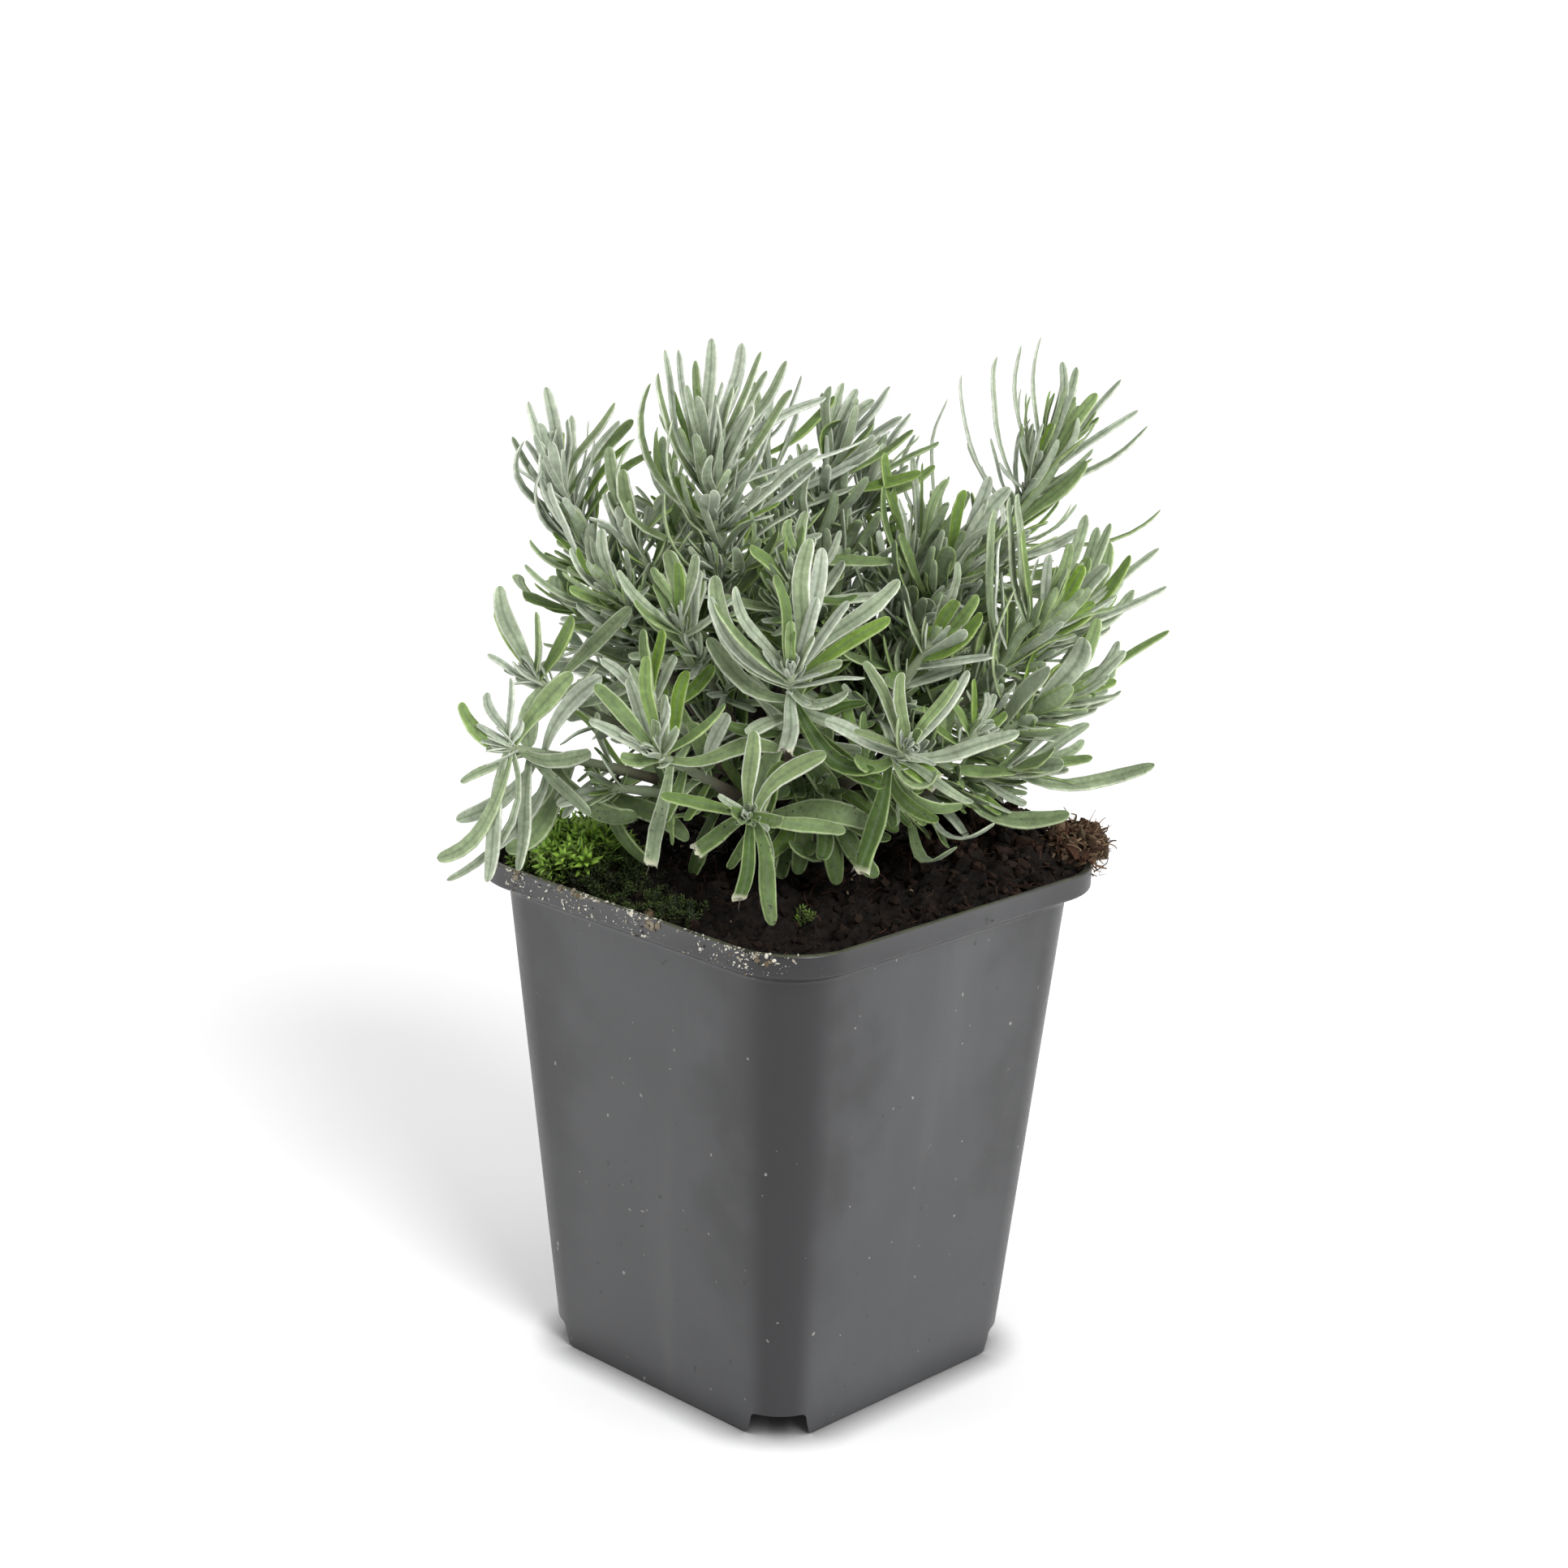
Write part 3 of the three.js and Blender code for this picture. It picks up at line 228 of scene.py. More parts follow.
# The finer blade: pairs are for a broad leaf and a slender one, or for a low leaf and a high one
WIDTH_KEPT = (0.9, 0.8)
WIDTH_KEPT_HEIGHTS = (125, 160)
SLENDER_WIDTHS = (2, 3.6)
BLADE_FOOT = (0.42, 0.66)
BLADE_BELLY = 0.62
BLADE_TAPER = (0.33, 0.24)
TAPER_FROM = 0.68
TAPER_TO = 1.02
BLUNT_FROM = 0.92
ROLL_WIDTHS = (1.61, 3.524)
ROLLS = (0.95, 0.08)
ROLL_SPREAD = (0.7, 1.1)
ROLL_NARROWER = 0.08
LEAF_DRIFT = 0.03
LEAF_SWING = 0.02
LEAF_DIP = 0.03
LEAF_CURL = 0.05
LEAF_TWIST = 0.3
LEAF_RAGGED = 0.03
BOW = 0.12
CUT_FOLD = 0.5
CUT_TORN = (0.35, 0.16)
CUT_BROWN_FROM = 0.93

# Leaves that only this file adds
COMPANION_REACH = 17
COMPANION_SPIN = (16, 80)
COMPANION_LENGTHS = (0.55, 0.95)
COMPANION_WIDTHS = (0.6, 0.9)
CROWN_TURN = 35
CROWN_LENGTHS = (8.5, 6.5, 4.5, 3)
CROWN_OPENINGS = (34, 24, 14, 7)
CROWN_WIDTHS = (1.2, 1.8)
CROWN_FOOT = 0.955
CROWN_STEP = 0.015
AXIL_LENGTHS = (2.5, 6.5)
AXIL_WIDTHS = (1, 1.6)
FILL_STEP = 6
FILL_FIRST = 0.06
FILL_REACH = 0.74
FILL_OPENINGS = (72, 38)
FILL_LENGTHS = (11, 20)
FILL_WIDTHS = (2.2, 4.2)
SPRIG_STEP = 13
SPRIG_OPENINGS = (28, 52)
SPRIG_LENGTHS = (5, 11)
SPRIG_RADII = (0.55, 0.52, 0.48, 0.44, 0.4)
SPRIG_PAIRS = 5
SPRIG_LEAF_OPENINGS = (62, 12)
SPRIG_LEAF_LENGTHS = (7, 13)
SPRIG_LEAF_WIDTHS = (1.3, 2.3)
LUSH_FRONT = 0.2
LUSH_SIDE = 1.5
LUSH_RIGHT = 2.9
LUSH_TOP = 2.9
LUSH_CROWN = 0.7
OPEN_LEFT = -45
OPEN_BELOW = 140
OPEN_FRONT_BELOW = 128
PALE_CROWN_FROM = 123

# Zones of the plant, from where each begins to where it is full: heights, places to the side
# and to the back in the corner frame, and reaches from the pot's middle
OLD_HEIGHTS = (150, 108)
YOUNG_LEFT = (-32, -50)
DEEP_REACH = (47, 17)
DEEP_HEIGHTS = (175, 140)
GREEN_RIGHT = (-4, 24)
GREEN_HEIGHTS = (172, 138)
UNDER_REACH = (47, 36)
UNDER_HEIGHTS = (138, 120)
OUTER_RIGHT = (18, 36)
OUTER_LEFT = (-28, -46)
LUSH_SIDE_DEPTHS = (-32, -8)
LUSH_CROWN_HEIGHTS = (150, 165)
LUSH_RIGHT_SIDE = (18, 34)
LUSH_RIGHT_DEPTHS = (-26, -10)
LUSH_RIGHT_HEIGHTS = (116, 132)
LUSH_TOP_DEPTHS = (4, 12)
LUSH_TOP_HEIGHTS = (150, 160)

# Dried soil and lime on the collar, along its left-hand side and round the front corner
GRIT_GRAINS = 600
GRIT_SIZES = (0.06, 0.33)
GRIT_PLACES = (-29, -28, -24, -16, -8, -7, 3, 7, 8, 22, 30, 33, 34, 40)
GRIT_SPREAD = 2.8
GRIT_ENDS = (-30, 46)
LUMP_PLACES = (-27, -14.3, -11, 9.5, 11, 36, 38)
LUMP_GRAINS = 5
LUMP_SIZES = (0.3, 0.75)

# Colours
LEAF_GREY = ((0.43, 0.48, 0.39), (0.222, 0.292, 0.13))
LEAF_GREEN = ((0.15, 0.265, 0.016), (0.066, 0.135, 0.009))
# Old leaves, and painted shade on leaves deep inside the plant
LEAF_OLD_AND_SHADED = ((0.088, 0.142, 0.034), (0.042, 0.086, 0.010))
LEAF_MARGIN = ((0.70, 0.74, 0.63), (0.38, 0.5, 0.17))
# Margins of old leaves, and of leaves in painted shade
LEAF_OLD_AND_SHADED_MARGIN = (0.25, 0.34, 0.13)
LEAF_FOOT = (0.17, 0.26, 0.08)
LEAF_UNDERSIDE = (0.33, 0.39, 0.29)
LEAF_GROOVE = (0.12, 0.17, 0.085)
LEAF_SPECKS = (0.03, 0.025, 0.02)
LEAF_CUT = (0.50, 0.50, 0.36)
STEM_GREEN = ((0.21, 0.27, 0.14), (0.30, 0.35, 0.24))
STEM_BROWN = ((0.05, 0.037, 0.024), (0.11, 0.085, 0.055))
BARK = ((0.017, 0.012, 0.009), (0.075, 0.056, 0.039))
BARK_PALE = (0.105, 0.088, 0.064)
WITHERED_BROWN = ((0.018, 0.012, 0.008), (0.12, 0.085, 0.05))
PEAT = ((0.003, 0.002, 0.0015), (0.014, 0.010, 0.0075))
PEAT_DRY = (0.021, 0.0125, 0.0085)
COIR = ((0.03, 0.012, 0.008), (0.115, 0.052, 0.03))
COIR_PALE = (0.30, 0.22, 0.13)
MOSS_GREEN = ((0.013, 0.017, 0.006), (0.35, 0.62, 0.07))
MOSS_DULL = (0.08, 0.13, 0.02)
MOSS_BROWN = (0.05, 0.035, 0.02)
GRIT = ((0.11, 0.075, 0.038), (0.60, 0.58, 0.50))
GRIT_DARK = (0.02, 0.016, 0.012)
POT_GREY = ((0.0425, 0.0435, 0.046), (0.054, 0.055, 0.058))
POT_STREAK = (0.085, 0.086, 0.088)
# Painted shade of the dark reflection on the pot's rounded corners
POT_ROUNDING_SHADE = (0.014, 0.014, 0.016)
# Painted shade of the dark reflection on the sides towards the pot's corners
POT_CORNER_SHADE = (0.0165, 0.0165, 0.018)
# Painted shade on the pot's collar
POT_COLLAR_SHADE = (0.018, 0.018, 0.02)
POT_RIM = (0.085, 0.092, 0.055)
POT_SPECKS = (0.32, 0.31, 0.28)
POT_DOTS = (0.015, 0.015, 0.014)

# Where fresh green leaves stand: x and z in the corner frame, and how far they reach
FRESH_PLACES = [
    (-56, 150, 5), (-48, 152, 6), (-40, 151, 6), (-33, 151, 5), (-27, 157, 6), (-26, 178, 7),
    (54, 176, 7), (49, 167, 7), (48, 184, 7), (52, 139, 6), (50, 156, 7), (45, 140, 6), (24, 161, 6),
    (28, 167, 6), (-6, 161, 6), (30, 132, 5), (-64, 118, 6), (40, 150, 6), (-20, 128, 7),
    (8, 118, 9), (34, 120, 8), (-2, 110, 9),
]

# Shoots. tip: crown in the corner frame. lift: height of the stem's bend, 0.5 is straight.
# wood: share of the stem that is a bough. pairs, upto: leaf pairs and the share of the stem
# they reach. leaf, blade: their length and width. bend: their curve, below 0 towards the stem.
# posed: leaves seen one by one, each as
# (share of the stem, clock angle from straight up, turn to the front, length, rise, width),
# with "cut" where the end is cut off and "bowed" where the leaf swings out to the left.
Shoot = namedtuple("Shoot", "name tip lift wood pairs upto leaf blade bend posed")
SHOOTS = [
    Shoot("shoot_top_left", (-17, -5, 174.5), 0.45, 0.4, 3, 0.6, 21, 3.6, 20, [
        (1, 2, 5, 26, 5, 3.2), (1, 14, -22, 26, 5, 3.4), (1, -7, -25, 22, 0, 2.6),
        (0.97, -12, 20, 21, 6, 2.2), (0.97, 28, -22, 24, -8, 2.4), (0.95, 9, 30, 20, 0, 3),
        (0.93, -21, 8, 25, 50, 2.6), (0.93, 41, -5, 24, -12, 2.6), (0.9, 20, 18, 21, 5, 3.6),
        (0.87, -2, 42, 16, 0, 2.8), (0.84, 34, 22, 22, 8, 4.2), (0.8, 48, 10, 24, 22, 3.8),
        (0.76, 57, -12, 22, 10, 2.8), (0.72, -22, 14, 28, 62, 2.6), (0.66, 76, 0, 19, 12, 3),
        (0.6, 53, 18, 25, 62, 3.6), (0.56, -34, 20, 25, 88, 2.6),
    ]),
    Shoot("shoot_left_top", (-43.5, 5, 169), 0.42, 0.4, 3, 0.6, 19, 3.4, 15, [
        (1, -10, 0, 20, 5, 3), (1, 8, 12, 15, 0, 2.4), (1, -19, 10, 19, 25, 3),
        (0.97, 1, -20, 16, 0, 2.4), (0.96, -14, 30, 14, 5, 3), (0.94, 26, 5, 19, -22, 2.2),
        (0.9, 34, -14, 18, -15, 2.2), (0.86, 38, 10, 20, -12, 2.8), (0.84, -40, -10, 22, 25, 2.2),
        (0.78, -30, -30, 17, 20, 4), (0.74, -29, 10, 24, 55, 3.2), (0.64, -24, 18, 23, 75, 3.8),
    ]),
    Shoot("shoot_left_small", (-30, -3, 161), 0.5, 0.5, 2, 0.5, 15, 3, 10, [
        (1, -8, 10, 15, 5, 3.6), (1, 34, -10, 13, 0, 2.6), (0.95, -24, 20, 14, 8, 2.6),
        (0.9, -20, 36, 11, 5, 2.4), (0.85, -30, 0, 16, 42, 2.4), (0.8, 26, -24, 18, 0, 4.4),
        (0.7, 44, 6, 16, 10, 3),
    ]),
    Shoot("shoot_centre_back_1", (-6, 16, 178), 0.5, 0.4, 6, 0.97, 19, 3, -8, []),
    Shoot("shoot_centre_back_2", (6, 16, 173), 0.6, 0.4, 5, 0.97, 20, 3.4, -6, [
        (1, 38, 0, 19, 0, 3.2), (0.97, 50, 12, 18, 6, 3.4), (0.92, 62, 0, 19, 8, 3.2),
        (0.86, 74, 14, 19, 12, 3.6),
    ]),
    Shoot("shoot_centre_back_3", (13, 19, 168), 0.6, 0.4, 5, 0.95, 17, 3.2, -8, [
        (1, 28, 0, 17, 0, 2.6), (1, 52, 5, 17, -6, 2.2), (0.92, 66, -8, 16, 5, 3),
    ]),
    Shoot("shoot_back_thin", (23, 10, 157), 0.5, 0.45, 2, 0.6, 15, 2.8, 0, [
        (1, -3, -10, 19, 24, 2), (1, 20, 5, 16, -18, 2.4), (0.95, -10, 15, 14, 6, 2.4),
        (0.9, -20, 4, 18, 34, 2.6), (0.8, -30, -12, 15, 20, 3.4), (0.75, 14, -30, 14, 0, 3.2),
    ]),
    Shoot("shoot_right_top", (46.5, 15, 175), 0.4, 0.4, 3, 0.55, 18, 3.4, 5, [
        (1, -3, 0, 24, 22, 1.9), (1, 8, 10, 20, 0, 2.6), (1, 19, -12, 19, 0, 2.8),
        (0.97, -13, 4, 25, 38, 1.9), (0.95, 31, 14, 20, 0, 3.6), (0.93, 39, -6, 25, -5, 2),
        (0.9, 36, 32, 17, 0, 3.2), (0.9, 52, 0, 25, 12, 2.2), (0.86, -10, 4, 28, 52, 1.9),
        (0.84, 56, 4, 28, 22, 2.6), (0.8, -22, -2, 29, 56, 1.9), (0.72, 45, 10, 21, 5, 4.2),
        (0.68, 76, 0, 32, 55, 1.8), (0.44, 38, 24, 15, 5, 4.2),
    ]),
    Shoot("shoot_right_inner", (28, 0, 157), 0.5, 0.4, 3, 0.6, 17, 3.6, 5, [
        (1, 10, 10, 16, 0, 3), (1, 25, -10, 19, 0, 3.4), (0.96, 34, 6, 21, 0, 4),
        (0.92, 45, 22, 19, 5, 2.6), (0.88, 12, 40, 15, 5, 4.4), (0.82, -22, 10, 14, 20, 3.4),
        (0.76, 54, 2, 17, 5, 3.2), (0.64, 20, 50, 13, 5, 4.4),
    ]),
    Shoot("shoot_right", (45, -5, 146), 0.46, 0.4, 3, 0.55, 18, 3.6, 0, [
        (1, 7, 10, 16, 5, 2.8), (1, 19, 0, 18, 0, 3), (1, 28, 16, 17, 0, 3.6),
        (0.96, -4, 10, 22, 22, 2.6), (0.95, 35, -10, 19, 0, 4), (0.92, 43, 8, 22, 5, 4.4),
        (0.9, 30, -24, 20, 5, 2.4), (0.97, 55, -10, 29, 10, 2.2), (0.83, -3, 20, 26, 22, 2.4, "bowed"),
        (0.95, 68, -10, 28, 20, 2.2), (0.72, 54, 26, 18, 5, 3.2),
    ]),
    Shoot("shoot_right_low", (47, -9, 133), 0.47, 0.4, 2, 0.5, 17, 3.6, 5, [
        (1, 66, 0, 14, 5, 2.6), (1, 75, 12, 14, 5, 2.6), (0.97, 54, -8, 14, 5, 2.6),
        (0.95, 61, -18, 30, 28, 2.1), (0.9, 26, 24, 21, 5, 5), (0.86, 82, -10, 14, 10, 2.6),
        (0.82, 80, 26, 8, 5, 4.4), (0.8, -4, 16, 29, 34, 2.4, "bowed"), (0.7, 92, 0, 13, 20, 2.6),
    ]),
    Shoot("shoot_right_bottom", (41, -12, 122), 0.5, 0.42, 2, 0.5, 16, 3.6, 5, [
        (1, 82, 0, 15, 5, 2.6), (1, 70, -14, 15, 10, 2.6), (0.97, 90, -12, 29, 35, 3.6),
        (0.94, 56, 36, 13, 10, 4.6), (0.9, 92, -16, 14, 24, 2.2), (0.84, 74, 26, 15, 5, 4.8),
        (0.76, 114, 5, 10, 40, 2.2), (0.66, 128, 20, 9, 30, 3),
    ]),
    Shoot("shoot_front_right", (20, -39, 132.5), 0.55, 0.35, 2, 0.45, 15, 3.6, 15, [
        (1, -6, 10, 15, 5, 2.8), (1, 30, 12, 16, -8, 2.4), (0.98, -23, 5, 18, 14, 2.6),
        (0.98, 36, -6, 18, 16, 2.6), (0.96, -12, 38, 11, 5, 2.4), (0.94, 24, 40, 8, 5, 2),
        (0.92, -66, 4, 15, 8, 3.4), (0.88, 73, 10, 22, 16, 3.6), (0.85, 108, 30, 9, 5, 4.6, "cut"),
        (0.85, -82, 25, 9, 95, 3.4), (0.8, 195, 12, 21, 0, 4, "cut"), (0.78, 138, 8, 15, 72, 3.2),
        (0.74, 117, 4, 17, 76, 2.6),
    ]),
    Shoot("shoot_front_centre", (-1, -37, 145.5), 0.5, 0.35, 3, 0.6, 17, 3.8, 20, [
        (1, 6, 6, 25, 2, 4.2), (1, -9, 14, 19, 3, 2.6), (1, 13, -16, 23, 0, 3.8),
        (1, -2, 32, 13, 0, 2.4), (0.98, 35, 10, 18, -5, 2.6), (0.98, -33, 8, 20, 4, 3),
        (0.96, 20, 34, 12, 0, 2.4), (0.95, -42, 16, 21, 22, 3.2), (0.94, 45, -4, 26, 4, 3.8),
        (0.93, 50, 16, 22, 4, 3.8), (0.92, -44, 0, 22, 52, 3), (0.9, -38, -12, 26, 74, 4.6),
        (0.88, 84, 26, 12, 92, 3), (0.86, 187, 30, 11, 0, 3.6, "cut"), (0.82, 122, 10, 21, 48, 4),
        (0.78, -56, -10, 19, 60, 4.4), (0.74, 130, 4, 24, 58, 4.4),
    ]),
    Shoot("shoot_front_low", (-8, -47, 122.5), 0.55, 0.32, 1, 0.3, 14, 3.6, 15, [
        (1, 2, 8, 16, 0, 3.4), (1, 80, 52, 10, 5, 3), (0.98, -60, 50, 6, 5, 3),
        (0.97, 98, 4, 17, 0, 3.4), (0.95, -77, 2, 16, 4, 3), (0.93, 187, 14, 15, 0, 3, "cut"),
        (0.9, 168, 10, 20, 10, 3.6), (0.88, -122, 4, 12, 0, 3.6, "cut"), (0.8, 30, -4, 17, -48, 4),
        (0.76, 172, -8, 14, 0, 3.4),
    ]),
    Shoot("shoot_front_left", (-24.5, -37, 130.5), 0.52, 0.35, 2, 0.5, 15, 3.6, 15, [
        (1, -8, 10, 18, 0, 3.2), (1, 8, 24, 12, 0, 2.4), (0.98, 49, 12, 16, 4, 2.6),
        (0.98, -41, 4, 17, 12, 3.4), (0.97, 24, 38, 9, 0, 2.4), (0.96, -26, -18, 15, 10, 2.8),
        (0.94, -60, 12, 15, 6, 3), (0.92, 14, -20, 16, 5, 3), (0.9, -82, 24, 9, 10, 3),
        (0.88, 82, 4, 20, 14, 3.6), (0.86, 191, 14, 19, 0, 3.2, "cut"), (0.72, 200, 30, 11, 30, 3.2),
    ]),
    Shoot("shoot_left", (-52.5, -19, 126), 0.6, 0.35, 2, 0.5, 14, 3.6, 15, [
        (1, 2, 10, 14, 28, 1.9), (1, 14, 22, 7, 0, 2.4), (0.98, -22, 6, 12, 30, 2.2),
        (0.98, 38, 16, 21, -54, 4.4), (0.96, -50, -6, 14, 105, 3), (0.95, 86, 16, 14, 60, 3.4),
        (0.93, -118, 6, 13, -15, 2.4), (0.92, 130, 22, 17, 5, 2.8), (0.9, 184, 14, 22, 0, 3.6),
        (0.86, -134, -6, 21, 32, 3.6), (0.82, -146, 12, 21, 46, 3), (0.7, -150, -14, 18, 10, 4.4),
        (0.64, 106, 12, 24, 30, 4.4), (0.6, 118, 20, 22, 42, 3.4),
    ]),
    Shoot("shoot_left_mid", (-48.5, -9, 137), 0.5, 0.4, 2, 0.5, 15, 3.6, 10, [
        (1, -20, 0, 18, 28, 4), (1, 4, 10, 13, 8, 2.2), (0.97, 28, 14, 15, 0, 4.8),
        (0.96, -62, 10, 11, 24, 1.9), (0.94, -34, -14, 16, 26, 3.4), (0.92, -50, 30, 9, 5, 2.2),
        (0.9, 45, 6, 22, 4, 3.6), (0.86, 36, -24, 18, 5, 3.4), (0.82, -72, -8, 9, 10, 2.4),
        (0.7, 58, 26, 17, 8, 4.2),
    ]),
    Shoot("shoot_left_inner", (-34, -4, 152), 0.48, 0.45, 2, 0.5, 14, 3.4, 10, [
        (1, -40, 8, 12, 56, 2.2), (1, -10, 14, 13, 5, 3), (0.95, -70, 0, 19, 56, 1.9),
        (0.9, -36, -10, 15, 40, 3.2), (0.86, -54, 16, 12, 10, 4), (0.8, -8, 42, 13, 0, 4.4),
        (0.74, 40, 10, 14, 10, 3.4), (0.66, -68, 10, 15, 40, 3.2),
    ]),
    Shoot("shoot_centre_left", (-21.5, -20, 150), 0.5, 0.4, 2, 0.5, 15, 3.6, 10, [
        (1, -2, 10, 12, 0, 3), (1, 17, 14, 15, 0, 3), (0.97, -47, 8, 16, 4, 3.4),
        (0.95, -52, 26, 12, 4, 2.6), (0.92, 48, 12, 13, 8, 3), (0.88, -14, -22, 17, 5, 4.8),
        (0.84, 4, -34, 16, 5, 4.8), (0.7, -80, 10, 13, 20, 3.4),
    ]),
    Shoot("shoot_centre_left_low", (-26, -27, 138), 0.5, 0.4, 2, 0.5, 13, 3, 5, [
        (1, -5, 12, 14, 0, 3), (1, 8, 4, 13, 0, 2.8), (0.96, 20, 14, 10, 0, 2.6),
        (0.94, -48, 10, 13, 8, 2.8), (0.9, -30, 30, 12, 5, 2.4), (0.84, 44, -8, 12, 10, 3.2),
    ]),
    Shoot("shoot_centre", (-1, -17, 160), 0.5, 0.4, 3, 0.7, 16, 3.4, 10, [
        (1, -4, 10, 10, 0, 2.8), (1, 12, 0, 11, 0, 2.8), (0.97, 28, 20, 9, 0, 2.6),
        (0.9, -40, 24, 12, 10, 4.2), (0.84, 88, 4, 18, 4, 3.6), (0.78, -84, 6, 15, 6, 3.4),
        (0.7, 40, 10, 15, 10, 4),
    ]),
    Shoot("shoot_young", (33.5, -22, 131), 0.5, 0.45, 2, 0.6, 12, 3, 10, [
        (1, -5, 8, 11, 0, 2), (1, 8, 16, 9, 0, 2), (0.96, 24, 4, 9, 0, 2.2), (0.95, -24, 14, 8, 5, 2),
        (0.88, 46, 20, 10, 10, 2.4), (0.84, -46, 14, 11, 10, 2.6),
    ]),
    Shoot("shoot_right_centre", (25, -14, 146), 0.5, 0.4, 3, 0.6, 15, 3.6, 10, [
        (1, 25, 16, 10, 0, 3.4), (1, 16, -4, 16, 22, 2.2), (0.95, 40, 6, 14, 5, 3),
        (0.92, -20, 20, 12, 10, 4.4), (0.88, 50, 24, 16, 5, 4.6), (0.8, 78, 10, 15, 5, 2.6),
        (0.72, -62, 12, 15, 12, 3.8),
    ]),
    Shoot("shoot_front_inner", (5, -19, 120), 0.62, 0.35, 2, 0.5, 15, 4, 25, [
        (1, 168, 8, 19, -10, 4.6), (0.97, 146, 14, 20, 10, 4.4), (0.94, 192, 10, 17, -10, 4.2),
        (0.92, 122, 20, 17, 20, 4.2), (0.9, -128, 10, 16, 10, 4), (0.86, 60, 10, 16, 20, 4),
    ]),
    Shoot("shoot_left_low", (-33, -20, 119), 0.6, 0.4, 3, 0.9, 16, 4.2, 30, []),
    Shoot("shoot_right_upper", (38, 5, 158), 0.48, 0.4, 5, 0.95, 17, 3.4, 0, []),
    Shoot("shoot_left_back", (-38, 13, 151), 0.45, 0.4, 5, 0.95, 16, 3.6, 5, []),
    Shoot("shoot_rear_left_top", (-24, 28, 164), 0.45, 0.4, 6, 0.97, 19, 3.4, 5, []),
    Shoot("shoot_rear_top", (2, 34, 161), 0.45, 0.4, 6, 0.97, 20, 3.4, -5, []),
    Shoot("shoot_rear_right_top", (28, 33, 156), 0.45, 0.4, 6, 0.97, 19, 3.4, 5, []),
    Shoot("shoot_rear_left", (-42, 28, 141), 0.42, 0.4, 5, 0.97, 18, 3.6, 15, []),
    Shoot("shoot_rear_mid", (-14, 44, 142), 0.42, 0.4, 5, 0.97, 19, 3.8, 15, []),
    Shoot("shoot_rear_right", (19, 48, 138), 0.42, 0.4, 5, 0.97, 18, 3.8, 15, []),
    Shoot("shoot_rear_corner", (44, 34, 137), 0.42, 0.4, 5, 0.97, 17, 3.6, 10, []),
    Shoot("shoot_rear_left_low", (-38, 40, 124), 0.5, 0.35, 4, 0.97, 17, 4, 30, []),
    Shoot("shoot_rear_low", (2, 55, 122), 0.5, 0.35, 4, 0.97, 17, 4, 30, []),
]

# Withered tufts low on the woody base
WITHERED = [
    Shoot("withered_right", (32, 5, 114), 0.7, 0.5, 2, 0.9, 9, 3, 70, []),
    Shoot("withered_left", (-33, -3, 114), 0.7, 0.5, 2, 0.9, 9, 3, 70, []),
]

